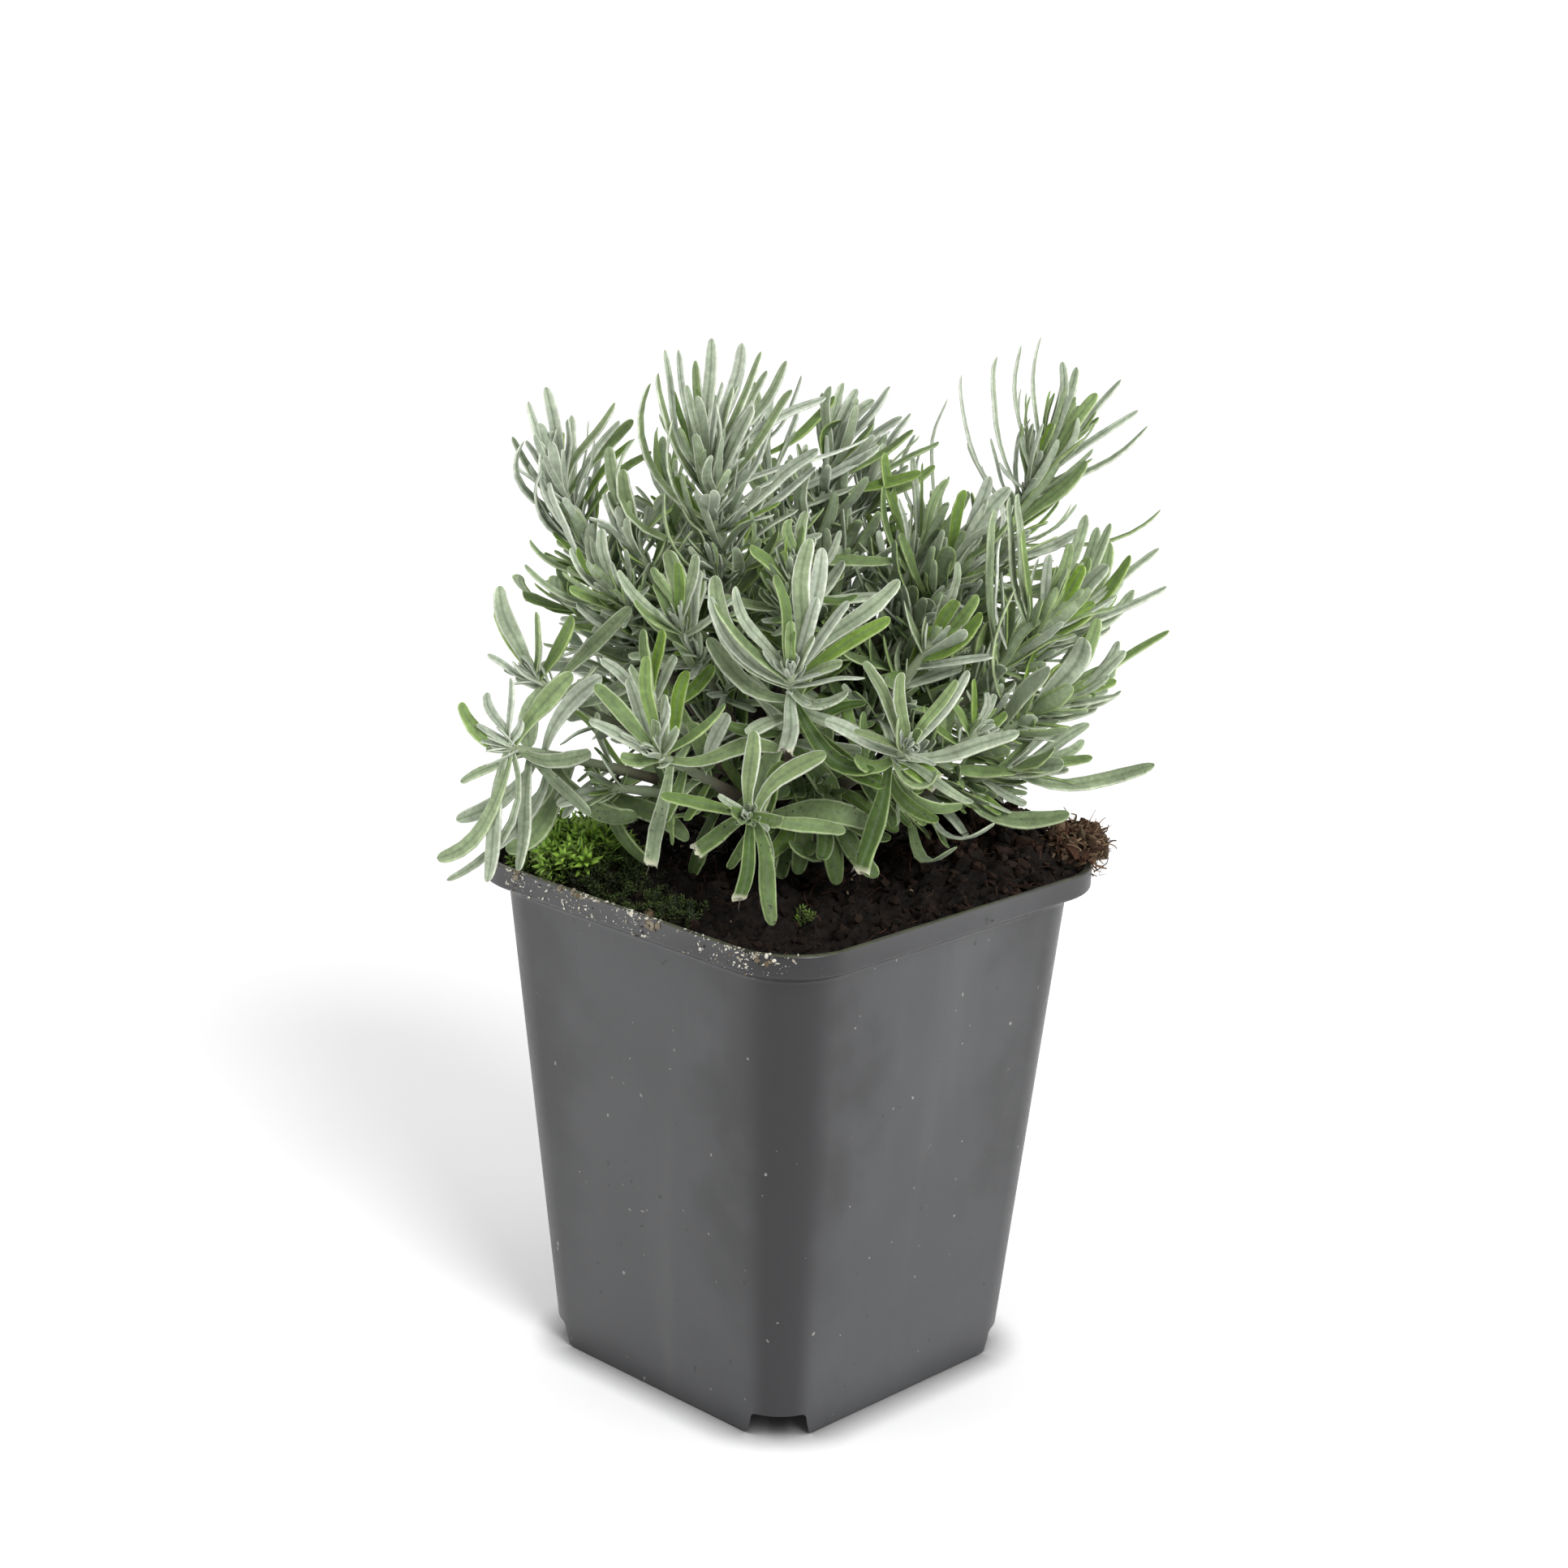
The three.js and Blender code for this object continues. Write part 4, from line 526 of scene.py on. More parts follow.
# Finer leaves on some of the shoots, each as
# (share of the stem, its middle, its tip, width, how fresh a green)
SINGLE_LEAVES = {
    "shoot_top_left": [
        (1, (-20.5, -5, 186.5), (-22.5, -5, 197), 1.8, 0),
        (1, (-23, -3.5, 188), (-24.5, -2, 196.5), 1.8, 0),
        (1, (-11, -1.5, 187.5), (-7, 2, 195.5), 2.4, 0), (1, (-7, -0.5, 186), (-2, 4, 193), 2.8, 0),
        (0.96, (-5, -2.5, 183.5), (4.5, 0, 189), 3, 0), (0.9, (-0.5, -3.5, 177), (12.5, -2, 182), 3, 0),
        (0.65, (2.5, -2.5, 158), (18, -2, 159.5), 3.6, 0.3),
        (0.81, (-29.5, -6, 180.5), (-27.5, -8, 191.5), 2.8, 0),
        (0.74, (-32, -8, 170.5), (-30, -12, 182), 3.2, 0),
        (0.48, (-6.5, -5, 158.5), (-4, -8, 165), 5, 0.9),
    ],
    "shoot_centre_back_1": [
        (1, (0, 16, 185.5), (0.5, 16, 189.5), 1.8, 0), (0.94, (4.5, 16, 182), (6, 16, 186), 4, 0.9),
        (0.69, (4.5, 11, 167.5), (10, 8, 171), 3.4, 0), (0.74, (7, 11, 173), (14.5, 8, 178.5), 3.4, 0),
    ],
    "shoot_centre_back_2": [
        (1, (7, 17, 184), (8.5, 18, 188), 2.6, 0), (1, (9, 17, 183.5), (11, 18, 187), 3, 0),
        (1, (9.5, 15, 181), (14, 14, 185.5), 3, 0), (1, (11.5, 14, 178), (13.5, 12, 181.5), 4, 0.9),
        (1, (5.5, 14, 179.5), (7.5, 12, 182.5), 4.5, 0.9),
    ],
    "shoot_centre_back_3": [
        (0.81, (15, 14.5, 166), (17, 12, 170.5), 4, 0.7),
    ],
    "shoot_back_thin": [
        (1, (18, 11, 167.5), (17, 12, 176), 4.5, 0.9),
    ],
    "shoot_rear_right_top": [
        (1, (26, 29, 176), (27, 25, 185), 1.8, 0), (1, (20, 29.5, 170), (21, 26, 177.5), 2.4, 0),
        (1, (24, 30.5, 164.5), (24.5, 28, 172.5), 2.4, 0),
    ],
    "shoot_left_top": [
        (0.89, (-52, 4, 172), (-51, 3, 178.5), 3.2, 0),
        (0.78, (-48.5, 2.5, 165.5), (-46.5, 0, 173), 4, 0),
        (0.68, (-45.5, 3.5, 155.5), (-49.5, 2, 160), 2, 0),
        (1, (-39, 5, 180.5), (-34, 5, 185.5), 2.6, 0), (0.98, (-36.5, 5.5, 176), (-30.5, 6, 182), 3, 0),
    ],
    "shoot_left_small": [
        (1, (-34, -3, 174.5), (-34.5, -3, 178.5), 3.6, 0),
    ],
    "shoot_rear_left_top": [
        (1, (-26.5, 25, 172.5), (-26, 22, 177.5), 5, 0.9),
        (0.81, (-26, 21.5, 161.5), (-23.5, 18, 165.5), 5, 0.9),
    ],
    "shoot_right_bottom": [
        (0.59, (40, -11, 111.5), (51.5, -14, 114), 4.6, 0.5),
        (0.35, (29, -14, 109.5), (37.5, -22, 113.5), 2.4, 0),
        (0.2, (24.5, -14.5, 105.5), (30.5, -24, 108), 3.4, 0.6),
    ],
    "shoot_front_right": [
        (0.87, (22.5, -37.5, 126.5), (25, -40, 128.5), 5, 0.6),
        (0.02, (7, -16, 107.5), (1, -22, 111), 5, 0.6),
    ],
    "shoot_right_low": [
        (1, (54.5, -6, 137.2), (60.2, -4, 144.5), 3, 0),
        (0.98, (54.8, -8.3, 136.2), (60.9, -8, 143.7), 3, 0.2),
        (0.97, (52.1, -7, 139.9), (55.7, -6, 149.2), 3.4, 0.7),
        (0.95, (52.1, -8.2, 133.2), (57.6, -8, 137.4), 3, 0),
        (0.92, (53.2, -5.3, 133.3), (60, -3, 139.3), 3.2, 0.4),
        (0.9, (50.2, -4.5, 137.2), (54.5, -2, 145.5), 3.6, 0.9),
        (0.68, (40.5, -17.5, 137), (44, -28, 144.5), 5.5, 0.2),
        (1, (49, -10.5, 139.5), (50.5, -12, 142), 6, 1),
    ],
    "shoot_right": [
        (1, (50.1, -0.7, 155.6), (53.5, 2, 167), 3, 0), (1, (51.5, 1, 153.6), (56.1, 5, 164), 3.2, 0.2),
        (0.98, (53.2, -1.7, 154), (58.3, 0, 165.9), 3, 0),
        (0.96, (52.5, 1.6, 151), (58.7, 6, 161.1), 3.4, 0.6),
        (0.94, (54.2, -3, 150), (61.4, -2, 160.4), 4.2, 0.9),
        (0.92, (53.4, 1.4, 146.8), (61.6, 6, 155.4), 3.4, 0),
        (0.9, (53.9, -0.9, 145.2), (63.3, 2, 152.8), 3, 0.3),
        (0.86, (51.8, 2.4, 143.3), (60.8, 8, 150.3), 3.6, 0.8),
        (0.84, (50.4, 0.2, 141.4), (59, 4, 146.3), 3, 0),
        (0.75, (35, -9, 158), (36, -14, 170.5), 3.2, 0),
        (1, (39, -6.5, 162.5), (39.5, -8, 171.5), 3, 0), (1, (41, -6.5, 161.5), (41.5, -8, 172), 3, 0),
        (0.64, (35, -4, 144), (36.5, -5, 148.5), 6, 0.8),
    ],
    "shoot_young": [
        (0.7, (27.5, -21.5, 134.5), (29, -25, 139), 5, 0.7),
    ],
    "shoot_rear_left": [
        (1, (-51, 24, 145), (-51.5, 20, 149.5), 4.5, 0.9),
        (1, (-48.5, 23, 144), (-51, 18, 147), 3.4, 0.8),
        (0.98, (-45, 23, 144.5), (-45.5, 18, 149.5), 5, 0.8),
    ],
    "shoot_left_inner": [
        (0.91, (-35.5, -2, 150.5), (-36.5, 0, 152.5), 4.5, 0.9),
        (0.81, (-31.5, -3.5, 150), (-32, -4, 154), 5, 1),
    ],
    "shoot_left_mid": [
        (0.84, (-40.5, -10, 135), (-37, -12, 140), 4, 0),
        (0.91, (-49, -11, 130), (-48, -14, 124.5), 4.5, 0.4),
    ],
    "shoot_left": [
        (0.76, (-45.7, -13.7, 115.6), (-51.5, -12, 110), 3.4, 0.5),
        (0.84, (-41.5, -16.5, 133.5), (-35, -17, 139), 4.4, 0),
        (0.99, (-59, -20.5, 106.5), (-64.2, -16, 103.9), 4.2, 0.5),
        (0.99, (-57, -20.5, 102), (-62.5, -16, 99.7), 2, 0),
        (1, (-54.5, -22.5, 112.5), (-56, -26, 102.5), 4, 0),
        (0.81, (-37, -18, 114.5), (-28, -20, 114.5), 5, 0.2),
        (0.71, (-46, -13, 110), (-53.5, -12, 104.5), 5, 0.6),
    ],
    "shoot_front_centre": [
        (0.35, (3.5, -21, 123), (8, -22, 116), 5.5, 0.7),
        (0.47, (-4.5, -27.5, 125), (-7, -32, 117), 5.5, 0.5),
    ],
    "shoot_front_low": [
        (0.34, (5, -26.5, 117.5), (14, -30, 116), 5, 0.3),
    ],
    "shoot_right_upper": [
        (1, (45.7, 6.6, 159.1), (53.1, 8, 162.6), 3, 0),
        (0.95, (46.3, 7.5, 154.3), (55.9, 10, 156.8), 3.6, 0.8),
        (0.9, (46.3, 7.4, 150.4), (57.7, 10, 152.1), 3.4, 0),
        (0.85, (44.3, 7, 152), (53.6, 9, 155.4), 3.8, 0.5),
    ],
}


# Numbers and directions
def draws(seed):
    state = seed & 0xFFFFFFFF

    def draw():
        nonlocal state
        state = (state + 0x6D2B79F5) & 0xFFFFFFFF
        t = state
        t = ((t ^ (t >> 15)) * (t | 1)) & 0xFFFFFFFF
        t ^= (t + (t ^ (t >> 7)) * (t | 61)) & 0xFFFFFFFF
        return (t ^ (t >> 14)) / 4294967296

    return draw


def between(ends, share):
    return ends[0] + (ends[1] - ends[0]) * share


def smooth(low, high, value):
    """0 at low, 1 at high and eased between them, for a number or an array."""
    t = np.clip((value - low) / (high - low), 0, 1)
    t = t * t * (3 - 2 * t)
    return t if isinstance(value, np.ndarray) else float(t)


def place(x, y, z):
    return Matrix.Rotation(CORNER_TURN, 3, "Z") @ Vector((x, y, z))


def place_back(spot):
    return Matrix.Rotation(-CORNER_TURN, 3, "Z") @ spot


def direction(azimuth, elevation=0):
    a = math.radians(azimuth)
    e = math.radians(elevation)
    return Vector((math.sin(a) * math.cos(e), -math.cos(a) * math.cos(e), math.sin(e)))


def turned(vector, axis, angle):
    return Quaternion(axis, angle) @ vector


def square_to(vector, way):
    return (vector - way * vector.dot(way)).normalized()


def scatter(rng, x=1, y=1, z=1):
    """A vector of normal draws with these spreads, and no draw where the spread is 0."""
    return Vector([rng.gauss(0, spread) if spread else 0 for spread in (x, y, z)])


def ring_faces(rings, count):
    faces = []
    for r in range(rings - 1):
        for i in range(count):
            a = r * count + i
            b = r * count + (i + 1) % count
            faces.append((a, b, b + count, a + count))
    last = (rings - 1) * count
    faces.append(tuple(range(count - 1, -1, -1)))
    faces.append(tuple(range(last, last + count)))
    return faces


def tube_points(centres, radii, sides):
    points = []
    across = Vector((1, 0.3, 0.2))
    for i, centre in enumerate(centres):
        ahead = centres[min(i + 1, len(centres) - 1)]
        behind = centres[max(i - 1, 0)]
        along = (ahead - behind).normalized()
        across = square_to(across, along)
        other = along.cross(across)
        for k in range(sides):
            angle = k / sides * math.tau
            points.append(centre + (across * math.cos(angle) + other * math.sin(angle)) * radii[i])
    return points


# Gathers the points and faces of one piece, with what its materials read at each point:
# place is (across, along, under), tone is (fresh, draw, age, cut); age also carries painted shade on
# leaves, and fresh carries it on moss
class Piece:
    def __init__(self):
        self.points, self.places, self.tones = [], [], []
        self.faces, self.slots = [], []
        self.count = 0

    def add(self, points, faces, slot=0, place=(0, 0, 0), tone=(0, 0.5, 0, 0)):
        points = np.asarray(points, float).reshape(-1, 3)
        size = len(points)
        self.points.append(points)
        self.places.append(np.broadcast_to(np.asarray(place, float), (size, 3)))
        self.tones.append(np.broadcast_to(np.asarray(tone, float), (size, 4)))
        self.faces.extend([tuple(i + self.count for i in face) for face in faces])
        self.slots.extend([slot] * len(faces))
        self.count += size

    def add_tube(self, centres, radii, sides, slot=0, tone=(0, 0.5, 0, 0)):
        points = tube_points(centres, radii, sides)
        self.add(points, ring_faces(len(centres), sides), slot, tone=tone)

    def finish(self, name, materials, sharp=None):
        mesh = bpy.data.meshes.new(name)
        mesh.from_pydata(np.concatenate(self.points) * MM, [], self.faces)
        mesh.polygons.foreach_set("material_index", self.slots)
        where = mesh.attributes.new("place", "FLOAT_VECTOR", "POINT")
        where.data.foreach_set("vector", np.concatenate(self.places).ravel())
        tone = mesh.attributes.new("tone", "FLOAT_COLOR", "POINT")
        tone.data.foreach_set("color", np.concatenate(self.tones).ravel())
        for material in materials:
            mesh.materials.append(material)
        mesh.shade_smooth()
        if sharp:
            mesh.set_sharp_from_angle(angle=math.radians(sharp))
        piece = bpy.data.objects.new(name, mesh)
        bpy.context.scene.collection.objects.link(piece)
        return piece


def dress(piece, node):
    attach(piece, "root")
    if node:
        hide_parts(node)


# Materials
class Nodes:
    def __init__(self, name):
        self.material = bpy.data.materials.new(name)
        self.material.use_nodes = True
        self.tree = self.material.node_tree
        self.shader = self.tree.nodes["Principled BSDF"]

    def node(self, kind, inputs=(), **settings):
        made = self.tree.nodes.new(kind)
        for key, value in settings.items():
            setattr(made, key, value)
        for key, value in dict(inputs).items():
            self.put(made.inputs[key], value)
        return made

    def put(self, socket, value):
        if isinstance(value, bpy.types.NodeSocket):
            self.tree.links.new(value, socket)
        elif isinstance(value, bpy.types.Node):
            self.tree.links.new(value.outputs[0], socket)
        else:
            socket.default_value = value

    def maths(self, operation, a, b=0.0):
        return self.node("ShaderNodeMath", {0: a, 1: b}, operation=operation)

    def times(self, a, b):
        return self.maths("MULTIPLY", a, b)

    def ramp(self, value, low, high, out_low=0.0, out_high=1.0):
        inputs = {"Value": value, "From Min": low, "From Max": high}
        inputs.update({"To Min": out_low, "To Max": out_high})
        return self.node("ShaderNodeMapRange", inputs, interpolation_type="SMOOTHSTEP")

    def mix(self, factor, a, b, blend="MIX"):
        made = self.node("ShaderNodeMix", data_type="RGBA", blend_type=blend)
        self.put(made.inputs[0], factor)
        for socket, value in ((made.inputs[6], a), (made.inputs[7], b)):
            self.put(socket, (*value, 1) if isinstance(value, tuple) else value)
        return made.outputs[2]

    def spots(self, scale, detail=2.0, rough=0.5, stretch=None):
        vector = self.node("ShaderNodeTexCoord").outputs["Object"]
        if stretch:
            vector = self.node("ShaderNodeMapping", {"Vector": vector, "Scale": stretch})
        inputs = {"Vector": vector, "Scale": scale, "Detail": detail, "Roughness": rough}
        return self.node("ShaderNodeTexNoise", inputs).outputs[0]

    def axes(self, vector):
        return self.node("ShaderNodeSeparateXYZ", {0: vector}).outputs

    def axes_of(self, kind):
        return self.axes(self.node("ShaderNodeTexCoord").outputs[kind])

    def where(self):
        """Across, along and under, as the piece has them at each point."""
        return self.axes(self.node("ShaderNodeAttribute", attribute_name="place").outputs["Vector"])

    def tone(self):
        """Fresh, draw, age and cut, as the piece has them at each point."""
        read = self.node("ShaderNodeAttribute", attribute_name="tone").outputs
        parts = self.node("ShaderNodeSeparateColor", {"Color": read["Color"]})
        return *parts.outputs, read["Alpha"]

    def finish(self, colour, roughness, bump=None, strength=0.3, distance=0.0001, **sockets):
        self.put(self.shader.inputs["Base Color"], colour)
        self.put(self.shader.inputs["Roughness"], roughness)
        if bump is not None:
            inputs = {"Height": bump, "Strength": strength, "Distance": distance}
            self.put(self.shader.inputs["Normal"], self.node("ShaderNodeBump", inputs))
        for key, value in sockets.items():
            self.shader.inputs[key.replace("_", " ")].default_value = value
        return self.material


def leaf_material():
    n = Nodes("leaf")
    fresh, draw, age, cut = n.tone()
    across, along, under = n.where()
    side = n.maths("ABSOLUTE", across)
    felt = n.spots(900, 3, 0.6)
    patches = n.spots(160, 3, 0.6)
    grey = n.mix(n.ramp(draw, 0.25, 1.0), *LEAF_GREY)
    green = n.mix(n.ramp(draw, 0.2, 0.9), *LEAF_GREEN)
    colour = n.mix(fresh, grey, green)
    colour = n.mix(n.ramp(along, 0.4, 0.0, 0.0, 0.3), colour, LEAF_FOOT)
    colour = n.mix(n.times(under, 0.6), colour, LEAF_UNDERSIDE)
    # Old leaves, and leaves in painted shade deep inside the plant, turn a darker green
    colour = n.mix(n.times(age, 0.85), colour, n.mix(fresh, *LEAF_OLD_AND_SHADED))
    groove = n.times(n.ramp(side, 0.3, 0.02), n.maths("SUBTRACT", 0.6, n.times(under, 0.6)))
    colour = n.mix(groove, colour, LEAF_GROOVE)
    # Their margins darken too, with age and with painted shade
    margin = n.mix(n.times(age, 0.75), n.mix(fresh, *LEAF_MARGIN), LEAF_OLD_AND_SHADED_MARGIN)
    colour = n.mix(n.times(n.ramp(side, 0.74, 0.9), 0.85), colour, margin)
    lighter = n.times(n.ramp(patches, 0.3, 0.7, 0.80, 1.14), n.ramp(felt, 0.3, 0.75, 0.84, 1.16))
    shade = n.node("ShaderNodeCombineColor", {0: lighter, 1: lighter, 2: lighter})
    colour = n.mix(1.0, colour, shade, "MULTIPLY")
    specks = n.ramp(n.spots(1300, 2, 0.5), 0.62, 0.68)
    speckled = n.times(n.ramp(n.spots(210, 2, 0.5), 0.42, 0.55), age)
    colour = n.mix(n.times(specks, speckled), colour, LEAF_SPECKS)
    colour = n.mix(cut, colour, LEAF_CUT)
    height = n.maths("ADD", n.spots(2600, 3, 0.7), n.times(felt, 0.8))
    return n.finish(
        colour, 0.6, height, 0.35, 0.00012,
        Subsurface_Weight=0.06, Subsurface_Radius=(0.6, 1.0, 0.25), Subsurface_Scale=0.001,
        Sheen_Weight=0.18, Sheen_Roughness=0.45, Specular_IOR_Level=0.3,
    )


def stem_material():
    n = Nodes("green_stem")
    age = n.tone()[2]
    green = n.mix(n.spots(500, 3, 0.6), *STEM_GREEN)
    brown = n.mix(n.spots(700, 3, 0.6), *STEM_BROWN)
    colour = n.mix(n.ramp(age, 0.15, 0.8), green, brown)
    return n.finish(colour, 0.7, n.spots(2200, 3, 0.7), 0.4, Sheen_Weight=0.15)


def wood_material():
    n = Nodes("bark")
    coarse = n.spots(330, 4, 0.65)
    streaks = n.spots(420, 4, 0.7, (1, 1, 0.2))
    colour = n.mix(n.ramp(streaks, 0.35, 0.68), *BARK)
    colour = n.mix(n.ramp(coarse, 0.55, 0.75), colour, BARK_PALE)
    return n.finish(colour, 0.85, n.maths("ADD", streaks, coarse), 0.8, 0.0006)


def withered_material():
    n = Nodes("withered_leaf")
    colour = n.mix(n.ramp(n.spots(450, 4, 0.65), 0.35, 0.7), *WITHERED_BROWN)
    return n.finish(colour, 0.85, n.spots(1800, 3, 0.7), 0.6, 0.0003)


def soil_material():
    n = Nodes("peat_and_coir")
    fibre, draw, pale, _ = n.tone()
    colour = n.mix(n.ramp(n.spots(420, 5, 0.7), 0.35, 0.75), *PEAT)
    colour = n.mix(n.ramp(draw, 0.55, 1.0, 0.0, 0.7), colour, PEAT_DRY)
    colour = n.mix(fibre, colour, n.mix(n.spots(900), *COIR))
    colour = n.mix(pale, colour, COIR_PALE)
    gloss = n.ramp(n.spots(600, 3, 0.6), 0.4, 0.65, 0.65, 0.95)
    return n.finish(colour, gloss, n.spots(1700, 4, 0.7), 0.7, 0.0005, Specular_IOR_Level=0.15)


def moss_material():
    n = Nodes("moss")
    fresh, draw, age, _ = n.tone()
    colour = n.mix(n.ramp(fresh, 0.0, 1.0), *MOSS_GREEN)
    colour = n.mix(n.ramp(draw, 0.3, 1.0, 0.0, 0.2), colour, MOSS_DULL)
    colour = n.mix(age, colour, MOSS_BROWN)
    return n.finish(
        colour, 0.6, n.spots(2000), 0.2,
        Subsurface_Weight=0.2, Subsurface_Radius=(0.5, 1.0, 0.2), Subsurface_Scale=0.001,
    )


def grit_material():
    n = Nodes("dried_grit")
    pale, _, dark, _ = n.tone()
    colour = n.mix(dark, n.mix(pale, *GRIT), GRIT_DARK)
    return n.finish(colour, 0.9, n.spots(2500, 3, 0.6), 0.5, 0.0002)


def pot_material():
    n = Nodes("dark_grey_plastic")
    cloud = n.spots(38, 5, 0.6)
    streak = n.spots(55, 4, 0.6, (1, 1, 0.14))
    fine = n.spots(700, 3, 0.6)
    colour = n.mix(n.ramp(cloud, 0.3, 0.7), *POT_GREY)
    colour = n.mix(n.ramp(streak, 0.52, 0.72, 0.0, 0.35), colour, POT_STREAK)
    facing_x, facing_y, facing_z = n.axes_of("Normal")
    # Painted shade: darker on the rounded corners, standing for their dark reflection
    rounding_shade = n.maths("ABSOLUTE", n.times(facing_x, facing_y))
    colour = n.mix(n.ramp(rounding_shade, 0.12, 0.45, 0.0, 0.85), colour, POT_ROUNDING_SHADE)
    x, y, z = n.axes_of("Object")
    # Painted shade: darker towards the corners with a ragged edge, and less near the foot, standing for
    # the dark reflection there
    inward = n.maths("MINIMUM", n.maths("ABSOLUTE", x), n.maths("ABSOLUTE", y))
    ragged = n.maths("ADD", inward, n.ramp(n.spots(60, 3, 0.55), 0.3, 0.7, -0.007, 0.007))
    corner_shade = n.times(n.ramp(ragged, 0.010, 0.034, 0.0, 0.8), n.ramp(z, 0.01, 0.06, 0.3, 1.0))
    colour = n.mix(corner_shade, colour, POT_CORNER_SHADE)
    # Painted shade: the collar darker from the shoulder up
    collar = n.ramp(z, (SHOULDER - 0.5) * MM, (SHOULDER + 0.2) * MM, 0.0, 0.45)
    colour = n.mix(collar, colour, POT_COLLAR_SHADE)
    top = n.ramp(z, (POT_HEIGHT - 1.7) * MM, (POT_HEIGHT - 0.4) * MM)
    rim = n.times(n.ramp(facing_z, 0.5, 0.9), top)
    rim = n.times(rim, n.ramp(n.spots(130, 3, 0.6), 0.35, 0.6, 0.25, 0.9))
    colour = n.mix(rim, colour, POT_RIM)
    specks = n.ramp(n.spots(620, 1, 0.4), 0.775, 0.80)
    colour = n.mix(n.times(specks, 0.6), colour, POT_SPECKS)
    dots = n.ramp(n.spots(480, 1, 0.4), 0.232, 0.215)
    colour = n.mix(n.times(dots, 0.7), colour, POT_DOTS)
    gloss = n.maths("ADD", n.ramp(cloud, 0.3, 0.7, 0.30, 0.42), n.ramp(fine, 0.3, 0.7, 0.0, 0.05))
    return n.finish(colour, gloss, fine, 0.06, Specular_IOR_Level=0.5)


# Camera, light and floor
def add_camera():
    back = direction(CAMERA_AZIMUTH, CAMERA_ELEVATION)
    right = direction(CAMERA_AZIMUTH + 90)
    up = back.cross(right)
    roll = math.radians(CAMERA_ROLL)
    across = right * math.cos(roll) + up * math.sin(roll)
    above = up * math.cos(roll) - right * math.sin(roll)
    data = bpy.data.cameras.new("camera")
    data.lens = CAMERA_LENS
    data.sensor_width = SENSOR
    data.clip_start = 0.01
    camera = bpy.data.objects.new("camera", data)
    camera.matrix_world = Matrix((across, above, back)).transposed().to_4x4()
    camera.location = (Vector(CAMERA_TARGET) + back * CAMERA_DISTANCE) * MM
    bpy.context.scene.collection.objects.link(camera)
    bpy.context.scene.camera = camera


def aimed_light(name, kind, azimuth, elevation, distance, strength):
    data = bpy.data.lights.new(name, kind)
    data.energy = strength
    light = bpy.data.objects.new(name, data)
    way = direction(azimuth, elevation)
    light.location = (way * distance + UP * LIGHT_HEIGHT) * MM
    light.rotation_mode = "QUATERNION"
    light.rotation_quaternion = way.to_track_quat("Z", "Y")
    bpy.context.scene.collection.objects.link(light)
    return data


def add_light():
    world = bpy.data.worlds.new("studio")
    world.use_nodes = True
    tree = world.node_tree
    toward = tree.nodes.new("ShaderNodeVectorMath")
    toward.operation = "DOT_PRODUCT"
    tree.links.new(tree.nodes.new("ShaderNodeTexCoord").outputs["Generated"], toward.inputs[0])
    toward.inputs[1].default_value = direction(CAMERA_AZIMUTH)
    level = tree.nodes.new("ShaderNodeMapRange")
    level.interpolation_type = "SMOOTHSTEP"
    ends = (*FRONT_FADE, WORLD_STRENGTH, WORLD_STRENGTH * FRONT_SHARE)
    for key, value in zip(("From Min", "From Max", "To Min", "To Max"), ends):
        level.inputs[key].default_value = value
    tree.links.new(toward.outputs["Value"], level.inputs["Value"])
    tree.links.new(level.outputs[0], tree.nodes["Background"].inputs["Strength"])
    tree.nodes["Background"].inputs["Color"].default_value = (1, 1, 1, 1)
    bpy.context.scene.world = world
    sun = aimed_light("key", "SUN", SUN_AZIMUTH, SUN_ELEVATION, SUN_DISTANCE, SUN_STRENGTH)
    sun.angle = math.radians(SUN_ANGLE)
    for i, (azimuth, elevation, strength) in enumerate(CARDS):
        card = aimed_light(f"card_{i}", "AREA", azimuth, elevation, CARD_DISTANCE, strength)
        card.shape = "SQUARE"
        card.size = CARD_SIZE * MM
    bpy.context.scene.view_settings.view_transform = "Standard"


def add_floor():
    n = Nodes("pale_floor")
    # Painted contact shadow: the floor's colour and glow fall towards black where ambient occlusion
    # finds the pot close by
    near = n.node("ShaderNodeAmbientOcclusion", {"Distance": FLOOR_SHADOW_REACH * MM}, samples=2)
    outside_painted_shadow = n.maths("POWER", near.outputs["AO"], FLOOR_SHADOW_DEPTH)
    n.put(n.shader.inputs["Emission Strength"], n.times(outside_painted_shadow, FLOOR_GLOW))
    n.put(n.shader.inputs["Emission Color"], (1, 1, 1, 1))
    material = n.finish(n.mix(outside_painted_shadow, (0, 0, 0), FLOOR_COLOUR), 0.8)
    h = FLOOR_HALF
    floor = Piece()
    floor.add([(-h, -h, 0), (h, -h, 0), (h, h, 0), (-h, h, 0)], [(0, 1, 2, 3)])
    floor.finish("floor", [material])


# Pot: a thin shell with a stepped collar, notched corners and drain holes
def corner_turn(corner):
    return Matrix.Rotation(math.pi / 4 + corner * math.pi / 2, 3, "Z")


def rounded_square(half, round_by, z):
    ring = []
    for corner in range(4):
        middle = math.pi / 4 + corner * math.pi / 2
        reach = (half - round_by) * math.sqrt(2)
        for step in range(CORNER_STEPS + 1):
            angle = (corner + step / CORNER_STEPS) * math.pi / 2
            x = math.cos(middle) * reach + math.cos(angle) * round_by
            y = math.sin(middle) * reach + math.sin(angle) * round_by
            ring.append((x, y, z))
    return ring


